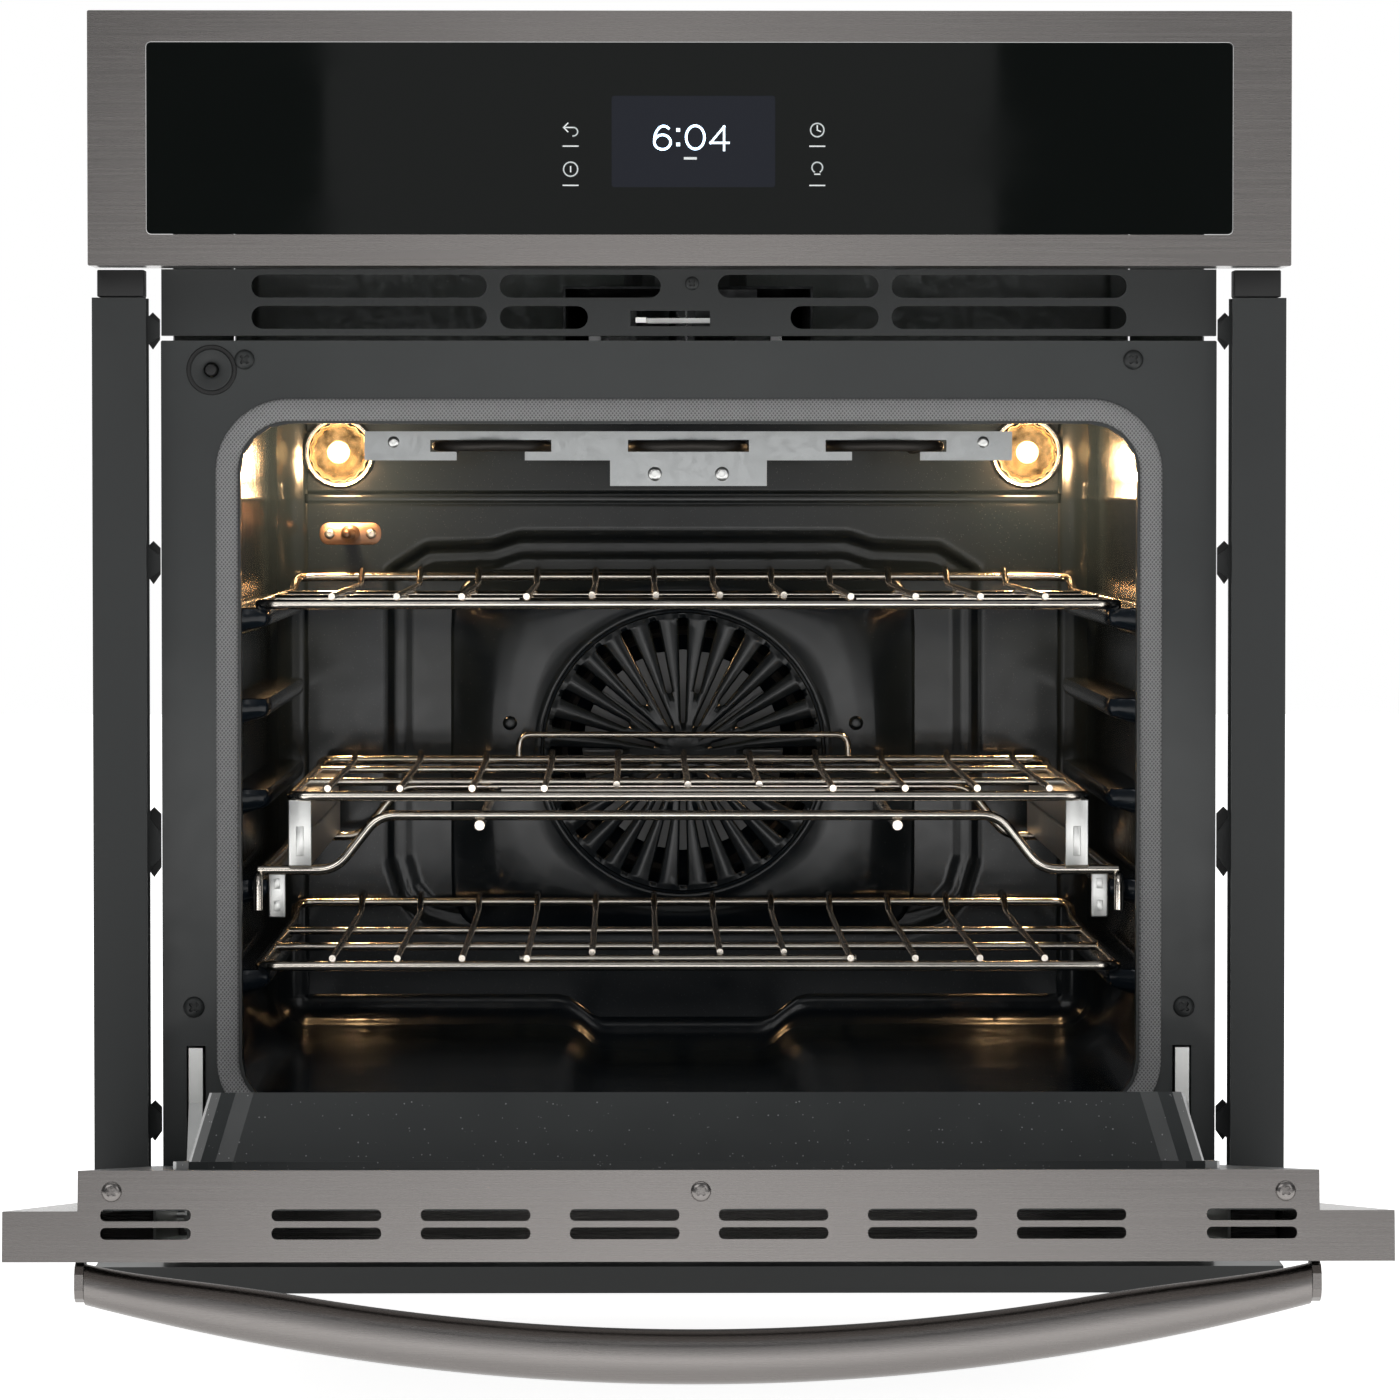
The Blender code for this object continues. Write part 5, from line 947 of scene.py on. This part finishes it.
def rack_runs(half, front, back, rod_z, rise, rails, tines, pitch):
    """The rim, the cross rails and the tines of one rack."""
    foot = back - 0.026
    tine_z = rod_z + ROD + TINE - SINK
    rail_z = tine_z - TINE - RAIL + SINK
    rear, top = back - 0.001, rod_z + rise
    rim = [
        (-half, front, rod_z), (half, front, rod_z), (half, foot, rod_z),
        (half, rear, top), (-half, rear, top), (-half, foot, rod_z),
    ]
    runs = [(rounded(rim, 0.013, 8, closed=True), ROD, True)]
    for setback in rails:
        runs.append(([(-half, front + setback, rail_z), (half, front + setback, rail_z)], RAIL, False))
    short = 2.5 * pitch + 0.005
    y = front + SHORT_RAIL
    runs.append(([(-short, y, rail_z), (short, y, rail_z)], RAIL, False))
    middle = (tines - 1) / 2
    for i in range(tines):
        x = (i - middle) * pitch
        start = front - 0.002 + (SHORT_RAIL if abs(i - middle) < 2 else 0)
        up = tine_z + rise
        path = [(x, start, tine_z), (x, foot, tine_z), (x, back - 0.006, up), (x, back + 0.003, up)]
        runs.append((rounded(path, 0.010, 5), TINE, False))
    return runs


def make_plain_racks():
    front, back = FACE_Y + RACK_SETBACK, CAVITY_BACK - RACK_REAR_GAP
    pitch = 2 * (RACK_HALF - RACK_EDGE) / (RACK_TINES - 1)
    for name in ("rack_upper", "rack_lower"):
        rod_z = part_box(name)[0].z + ROD
        runs = rack_runs(RACK_HALF, front, back, rod_z, 0.010, (0.154, 0.294), RACK_TINES, pitch)
        wire_piece(name + "_wires", runs, "nickel_wire", name, nodes=(name,))


def make_glide():
    half = GLIDE_HALF
    front = FACE_Y + RACK_SETBACK
    back = CAVITY_BACK - RACK_REAR_GAP - 0.045
    shelf = LEDGE_TOPS[2]
    rod_z = shelf + 0.050
    wire_z = shelf + GAP + ROD
    pitch = 2 * (half - GLIDE_EDGE) / (GLIDE_TINES - 1)
    runs = rack_runs(half, front, back, rod_z, 0.005, (0.170, 0.340), GLIDE_TINES, pitch)
    guard_low, guard_top = rod_z + 0.005, rod_z + 0.021
    guard_half = 0.106
    y = back - 0.001
    guard = [
        (-guard_half, y, guard_low), (-guard_half, y, guard_top),
        (guard_half, y, guard_top), (guard_half, y, guard_low),
    ]
    runs.append((rounded(guard, 0.009, 6), TINE, False))
    wire_piece("glide_rack_wires", runs, "nickel_wire", "glide_rack", nodes=("glide_rack",))

    x_out = half + 0.0015
    x_in = x_out - 0.0135
    channel_low = wire_z + 0.003 + ROD - SINK
    runner_top = rod_z - ROD + SINK + GAP
    runner_low = runner_top - 0.0175
    bm = bmesh.new()
    for _, sign in SIDES:
        x = sorted((sign * x_in, sign * x_out))
        box_between(bm, x, (front + 0.003, back - 0.030), (runner_low, runner_top), 0.0012)
        box_between(bm, x, (front + 0.001, front + 0.0028), (channel_low, runner_top), 0.0006)
        middle = (x[0] + x[1]) / 2
        box_between(
            bm, (middle - 0.0022, middle + 0.0022), (front + 0.0004, front + 0.0012),
            (channel_low + 0.006, runner_low + 0.002), 0.0003,
        )
    mesh_piece("glide_runners", bm, "bright_zinc", "glide_rack")

    side_x = 0.2525
    wire_y, rear_y = front + 0.008, back - 0.012
    low_z = wire_z + 0.003
    arch_z = low_z + 0.032
    flat_x = CAVITY_HALF - 0.063
    runs = []
    for _, sign in SIDES:
        x = sign * side_x
        path = [(x, front, wire_z - 0.020), (x, front, wire_z), (x, rear_y + 0.008, wire_z)]
        runs.append((rounded(path, 0.006, 6), ROD, False))
        x = sign * 0.1225
        z = arch_z - 2 * ROD + SINK
        runs.append(([(x, wire_y - 0.006, z), (x, rear_y + 0.006, z)], ROD, False))
    for y in (wire_y, rear_y):
        path = [
            (-side_x, y, low_z), (-flat_x, y, low_z), (-flat_x + 0.025, y, arch_z),
            (flat_x - 0.025, y, arch_z), (flat_x, y, low_z), (side_x, y, low_z),
        ]
        runs.append((rounded(path, 0.010, 6), ROD, False))
    wire_piece("cradle_wires", runs, "nickel_wire", nodes=("glide_cradle",))
    bm = bmesh.new()
    for _, sign in SIDES:
        x = sorted((sign * x_in, sign * x_out))
        box_between(bm, x, (front + 0.004, rear_y + 0.004), (channel_low, runner_low - GAP), 0.0012)
        x = sorted((sign * (LEDGE_HALF - 0.0105), sign * (LEDGE_HALF - 0.0005)))
        plate = (low_z - 0.028, low_z + 0.001)
        box_between(bm, x, (wire_y - 0.001, wire_y + 0.001), plate, 0.0008)
        middle = (x[0] + x[1]) / 2
        for z in (plate[0] + 0.007, plate[1] - 0.009):
            box_between(
                bm, (middle - 0.0018, middle + 0.0018), (wire_y - 0.0014, wire_y - 0.0008),
                (z - 0.003, z + 0.003), 0.0002,
            )
    mesh_piece("cradle_channels", bm, "bright_zinc")


# ---------------------------------------------------------------- front frame, gasket and trims
GASKET_HALF = 0.0065
GASKET_CORNER = 0.036
GASKET_STEP = 0.0012
KNOT_PITCH = 0.0052
KNOT_RELIEF = 0.10


def make_gasket():
    """A knitted tube pressed flat on its back, run round the opening."""
    low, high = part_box("door_gasket")
    proud = high.y - low.y
    half = (low.x + GASKET_HALF, high.x - GASKET_HALF)
    tall = (low.z + GASKET_HALF, high.z - GASKET_HALF)
    outline = rounded_rect(half, tall, GASKET_CORNER, 24)
    dense = []
    for (ax, az), (bx, bz) in zip(outline, outline[1:] + outline[:1]):
        steps = max(1, round(math.hypot(bx - ax, bz - az) / GASKET_STEP))
        dense += [(ax + (bx - ax) * k / steps, az + (bz - az) * k / steps) for k in range(steps)]
    bm = bmesh.new()
    rows, along, count, around = [], 0.0, len(dense), 14
    total = sum(math.dist(dense[i], dense[(i + 1) % count]) for i in range(count))
    knots = round(total / KNOT_PITCH)
    for i, (x, z) in enumerate(dense):
        ahead, behind = dense[(i + 1) % count], dense[i - 1]
        run = Vector((ahead[0] - behind[0], 0, ahead[1] - behind[1])).normalized()
        out = Vector((run.z, 0, -run.x))
        row = []
        for j in range(around + 1):
            angle = math.pi * j / around
            phase = 2 * math.pi * knots * along / total
            weave = math.sin(phase + 6 * angle) * math.sin(phase - 6 * angle)
            rise = proud * (1 - KNOT_RELIEF + KNOT_RELIEF * weave) * math.sin(angle) ** 0.7
            across = out * (GASKET_HALF * math.cos(angle) * (0.985 + 0.015 * weave))
            row.append(bm.verts.new(Vector((x, high.y - rise, z)) + across))
        rows.append(row)
        along += math.dist((x, z), ahead)
    for i in range(count):
        skin(bm, rows[i], rows[(i + 1) % count], closed=True)
    mesh_piece("gasket_sleeve", bm, "woven_gasket", nodes=("door_gasket",), smooth=70)


# (x, height, radius)
FRAME_SCREWS = (
    (-0.257, 0.5225, 0.0058), (0.257, 0.5225, 0.0058), (-0.2872, 0.1475, 0.0062),
    (0.2872, 0.1475, 0.0062), (0.0016, 0.5665, 0.0040),
)
BARREL_FACE = (
    (0.0145, 0), (0.0145, 0.0008), (0.0141, 0.0012), (0.0122, 0.0012), (0.0118, 0.0004),
    (0.0042, 0.0004), (0.0042, -0.026),
)
BARREL_BACK = ((0.0042, 0.026), (0.0115, 0.026), (0.0115, 0.0))
SWITCH_DISC = (
    (0.0042, 0.0006), (0.0120, 0.0006), (0.0120, 0.0026), (0.0117, 0.0029), (0.0050, 0.0029),
    (0.0042, 0.0024), (0.0042, 0.0006),
)


def make_frame_details():
    places = [((x, FACE_Y, z), radius) for x, z, radius in FRAME_SCREWS]
    screws_piece("frame_screws", places, (0, -1, 0), slot="dark_painted_steel", lobes=4)
    centre = middle_of("light_switch_body")
    centre.y = FACE_Y
    bm = bmesh.new()
    lathe(bm, centre, (0, -1, 0), BARREL_FACE, 48, close=False)
    lathe(bm, centre, (0, 1, 0), BARREL_BACK, 48, close=False)
    mesh_piece("switch_barrel", bm, "black_plastic", nodes=("light_switch_body",), smooth=40)
    bm = bmesh.new()
    lathe(bm, centre, (0, -1, 0), SWITCH_DISC, 48, close=False)
    mesh_piece("switch_disc", bm, "dark_painted_steel", smooth=40)
    low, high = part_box("light_switch_plunger")
    length = high.y - low.y
    tip = ((0.0036, 0), (0.0036, length - 0.0016), (0.0030, length - 0.0004), (0.0018, length), (0, length))
    bm = bmesh.new()
    lathe(bm, (centre.x, high.y, centre.z), (0, -1, 0), tip)
    plunger = "light_switch_plunger"
    mesh_piece("switch_plunger", bm, "black_plastic", plunger, nodes=(plunger,), smooth=40)


CLIP_SPANS = ((0.5283, 0.5497), (0.3928, 0.4177), (0.2231, 0.2637), (0.0698, 0.0935))


def make_trim_clips():
    """Black end caps over the side trims and the pointed clips between the trims and the frame."""
    trim_low, trim_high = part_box("side_trim_right")
    bm = bmesh.new()
    face = trim_low.y
    for _, sign in SIDES:
        x = sorted((sign * 0.3130, sign * 0.3400))
        box_between(bm, x, (face + 0.0010, face + 0.020), (trim_high.z + 0.0004, 0.5735), 0.0008)
        near, far = sign * 0.3058, sign * 0.3139
        for low, high in CLIP_SPANS:
            outline = [
                ((near + far) / 2, low), (far, low + 0.0056), (far, high - 0.004),
                ((near + far) / 2, high), (near, high - 0.004), (near, low + 0.0056),
            ]
            slab(bm, outline, FACE_Y - 0.0015, FACE_Y + 0.0015)
    mesh_piece("trim_clips", bm, "black_plastic")


# ---------------------------------------------------------------- control panel
DIGIT_LINE = 0.0013
ICON_LINE = 0.00075
SUNK = GLASS_FACE + 0.0004
INK = GLASS_FACE - 0.00014
WINDOW_FACE = GLASS_FACE - 0.00006


def stroke(bm, points, width):
    """A flat line of the given width through (x, z) points on the glass."""
    for a, b in zip(points, points[1:]):
        a, b = Vector(a), Vector(b)
        run = (b - a).normalized() * (width / 2)
        side = Vector((-run.y, run.x))
        slab(bm, [a - run + side, b + run + side, b + run - side, a - run - side], INK, SUNK)


def make_display():
    bm = bmesh.new()
    slab(bm, rounded_rect((-0.0446, 0.0485), (0.6197, 0.6716), 0.0015, 5), WINDOW_FACE, SUNK)
    mesh_piece("display_screen", bm, "black_glass", material="display_window")

    six = (
        oval((-0.0157, 0.6453), 0.0046, 0.0041),
        oval((-0.0150, 0.6458), 0.0053, 0.0086, 178, 58),
    )
    zero = oval((0.0030, 0.6480), 0.0052, 0.0066)
    four = [(0.0194, 0.6408), (0.0194, 0.6541), (0.0117, 0.6449), (0.0220, 0.6449)]
    bm = bmesh.new()
    for line in six:
        stroke(bm, line, DIGIT_LINE)
    for z in (0.6440, 0.6522):
        stroke(bm, [(-0.0068, z), (-0.0067, z)], 0.0021)
    for line in (zero, four):
        stroke(bm, line, DIGIT_LINE)
    mesh_piece("clock_digits", bm, "black_plastic", material="display_digits")

    left, right, upper, lower = -0.068, 0.0725, 0.6522, 0.6299
    lines = [
        [(x - 0.0042, z - 0.0092), (x + 0.0042, z - 0.0092)] for x in (left, right) for z in (upper, lower)
    ]
    lines += [
        [(left - 0.0040, upper + 0.0014), (left + 0.0014, upper + 0.0014)],
        oval((left + 0.0014, upper - 0.0010), 0.0026, 0.0024, 90, -90),
        [(left - 0.0016, upper + 0.0038), (left - 0.0040, upper + 0.0014), (left - 0.0016, upper - 0.0010)],
        oval((left, lower), 0.0040, 0.0040),
        [(left, lower - 0.0014), (left, lower + 0.0014)],
        oval((right, upper), 0.0038, 0.0038),
        [(right, upper + 0.0024), (right, upper), (right + 0.0018, upper - 0.0008)],
        oval((right, lower + 0.0010), 0.0030, 0.0030, -55, 235),
        [(right - 0.0014, lower - 0.0028), (right + 0.0014, lower - 0.0028)],
    ]
    bm = bmesh.new()
    stroke(bm, [(-0.0028, 0.6361), (0.0032, 0.6361)], 0.0014)
    for line in lines:
        stroke(bm, line, ICON_LINE)
    mesh_piece("panel_icons", bm, "black_plastic", material="icon_grey")


# ---------------------------------------------------------------- door
HANDLE_END_REACH, HANDLE_REACH, HANDLE_THICK = 0.021, 0.062, 0.028
HANDLE_SINK = 0.0006
HANDLE_ROUND = 0.7
HANDLE_SIDES = 40


def make_handle():
    """The bowed bar, thick in the middle and slim where it meets the door."""
    low, high = closed_box("handle_bar")
    door_face = closed_box("door_skin")[0].y
    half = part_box("handle_end_right")[1].x
    centre_z = (low.z + high.z) / 2
    tall = (high.z - low.z) / 2 / math.cos(math.pi / 12) ** HANDLE_ROUND
    end_reach = HANDLE_END_REACH
    rows = []
    for station in range(-40, 41):
        x = high.x * math.sin(math.pi / 2 * station / 40)
        bow = 1 - (x / half) ** 2
        outer = door_face - end_reach - (HANDLE_REACH - end_reach) * bow
        thick = end_reach - HANDLE_SINK + (HANDLE_THICK - end_reach) * smoothstep(bow, 0.0, 0.6)
        inner = min(outer + thick, door_face - HANDLE_SINK)
        middle, deep = (outer + inner) / 2, (inner - outer) / 2
        row = []
        for i in range(HANDLE_SIDES):
            angle = 2 * math.pi * (i + 0.5) / HANDLE_SIDES
            turn = (math.cos(angle), math.sin(angle))
            across, up = [math.copysign(abs(v) ** HANDLE_ROUND, v) for v in turn]
            row.append((x, middle + deep * across, centre_z + tall * up))
        rows.append(row)
    bm = bmesh.new()
    loft(bm, rows)
    mesh_piece("handle_grip", bm, "black_stainless", "door", nodes=("handle_bar",), smooth=50, opened=True)


DOOR_SCREWS_X = (-0.2892, 0.0009, 0.2892)


def make_door_screws():
    high = closed_box("door_vent_trim")[1]
    places = [((x, high.y - 0.0105, high.z), 0.0050) for x in DOOR_SCREWS_X]
    screws_piece(
        "door_trim_screws", places, (0, 0, 1), slot="black_stainless", body="door", opened=True, lobes=4
    )


# ---------------------------------------------------------------- outer panels
FOLD = 0.014
PANEL_SHEET = 0.0010
DIMPLE = 0.009
LOUVRE_PITCH = 0.044


def panel_lines(low, high, marks):
    """Grid lines across a panel, close together beside each mark."""
    lines = set(span_of(low, high, 24))
    for mark in marks:
        lines |= {mark + d for d in (-0.009, -0.006, -0.004, -0.002, 0.0, 0.002, 0.004, 0.006, 0.009)}
    kept = []
    for line in sorted(lines):
        if low <= line <= high and (not kept or line - kept[-1] > 0.0006):
            kept.append(line)
    kept[-1] = high
    return kept


def pressed_panel(name, node, axis, outward, beads, screws, holes=()):
    """A sheet with a folded rim, pressed ribs and screws set in dimples, within the node's box."""
    low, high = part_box(node)
    first, second = [i for i in range(3) if i != axis]
    face = high[axis] if outward > 0 else low[axis]
    u_marks = [low[first] + FOLD, high[first] - FOLD] + [u for u, _ in screws]
    v_marks = [low[second] + FOLD, high[second] - FOLD] + [v for _, v in screws]
    for (u0, v0), (u1, v1) in beads:
        u_marks += [u0, u1]
        v_marks += [v0, v1]
    rim = PANEL_SHEET / 2
    us = panel_lines(low[first] + rim, high[first] - rim, u_marks)
    vs = panel_lines(low[second] + rim, high[second] - rim, v_marks)
    for hole in holes:
        us = sorted(set(us) | {hole[0], hole[1]})
        vs = sorted(set(vs) | {hole[2], hole[3]})
    pu, pv = np.meshgrid(np.array(us), np.array(vs))
    edge = np.minimum.reduce([pu - low[first], high[first] - pu, pv - low[second], high[second] - pv])
    depth = 0.0012 * ramp(edge, FOLD - 0.002, FOLD + 0.002)
    for (u0, v0), (u1, v1) in beads:
        span = np.hypot(u1 - u0, v1 - v0) ** 2
        t = np.clip(((pu - u0) * (u1 - u0) + (pv - v0) * (v1 - v0)) / span, 0, 1)
        away = np.hypot(pu - u0 - t * (u1 - u0), pv - v0 - t * (v1 - v0))
        depth = depth + 0.0022 * (1 - ramp(away, 0.002, 0.0065))
    for u, v in screws:
        depth = np.maximum(depth, 0.0026 * (1 - ramp(np.hypot(pu - u, pv - v), 0.006, DIMPLE)))
    bm = bmesh.new()
    rows = []
    for j in range(len(vs)):
        row = []
        for i in range(len(us)):
            spot = [0.0, 0.0, 0.0]
            spot[first], spot[second] = pu[j, i], pv[j, i]
            spot[axis] = face - outward * (depth[j, i] + PANEL_SHEET / 2)
            row.append(bm.verts.new(spot))
        rows.append(row)
    for j in range(len(vs) - 1):
        for i in range(len(us) - 1):
            u, v = (us[i] + us[i + 1]) / 2, (vs[j] + vs[j + 1]) / 2
            if not any(a < u < b and c < v < d for a, b, c, d in holes):
                bm.faces.new((rows[j][i], rows[j][i + 1], rows[j + 1][i + 1], rows[j + 1][i]))
    thicken(mesh_piece(name, bm, SLOT_OF[node], nodes=(node,), smooth=40), PANEL_SHEET, 0.0)
    direction = [0, 0, 0]
    direction[axis] = outward
    places = []
    for u, v in screws:
        spot = [0.0, 0.0, 0.0]
        spot[first], spot[second], spot[axis] = u, v, face - outward * 0.0024
        places.append((tuple(spot), 0.0042))
    screws_piece(name + "_screws", places, tuple(direction))


def make_panels():
    low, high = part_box("side_panel_right")
    top = high.z
    edge = 0.007
    heights = [0.040, 0.200, 0.360, 0.520, top - 0.030]
    for side, sign in SIDES:
        screws = [(y, z) for y in (low.y + 0.026, high.y - edge) for z in heights]
        beads = [((low.y + 0.090, z), (high.y - 0.070, z)) for z in (0.130, 0.280, 0.430)]
        pressed_panel(f"side_sheet_{side}", f"side_panel_{side}", 0, sign, beads, screws)

    low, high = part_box("rear_panel")
    holes = []
    for row_z in (top - 0.060, top - 0.085):
        for i in range(5):
            x = (i - 2) * LOUVRE_PITCH
            holes.append((x - 0.016, x + 0.016, row_z, row_z + 0.006))
    screws = [(sign * (high.x - edge), z) for _, sign in SIDES for z in heights]
    screws += [(x, z) for x in (-0.160, 0.0, 0.160) for z in (low.z + edge, high.z - edge)]
    beads = [((-0.240, 0.100), (0.240, 0.100)), ((-0.240, 0.460), (0.240, 0.460))]
    beads += [((sign * 0.240, 0.130), (sign * 0.240, 0.430)) for _, sign in SIDES]
    pressed_panel("rear_sheet", "rear_panel", 1, 1, beads, screws, holes)

    low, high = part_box("top_panel")
    screws = [(sign * (high.x - edge), y) for _, sign in SIDES for y in (-0.200, -0.040, 0.120)]
    screws += [(x, high.y - edge) for x in (-0.080, 0.080, 0.260)]
    beads = [((-0.120, y), (0.260, y)) for y in (-0.140, 0.0, 0.140)]
    pressed_panel("top_sheet", "top_panel", 2, 1, beads, screws)


def build():
    make_studio()
    dress_cad_nodes()
    make_cavity_liner()
    make_cavity_rear()
    make_fan_cover()
    make_broil_parts()
    make_lamps()
    make_sensor()
    make_plain_racks()
    make_glide()
    make_gasket()
    make_frame_details()
    make_trim_clips()
    make_display()
    make_handle()
    make_door_screws()
    make_panels()


make_camera()
MATERIALS = {name: maker(name, *settings) for name, (maker, settings) in LOOKS.items()}
build()
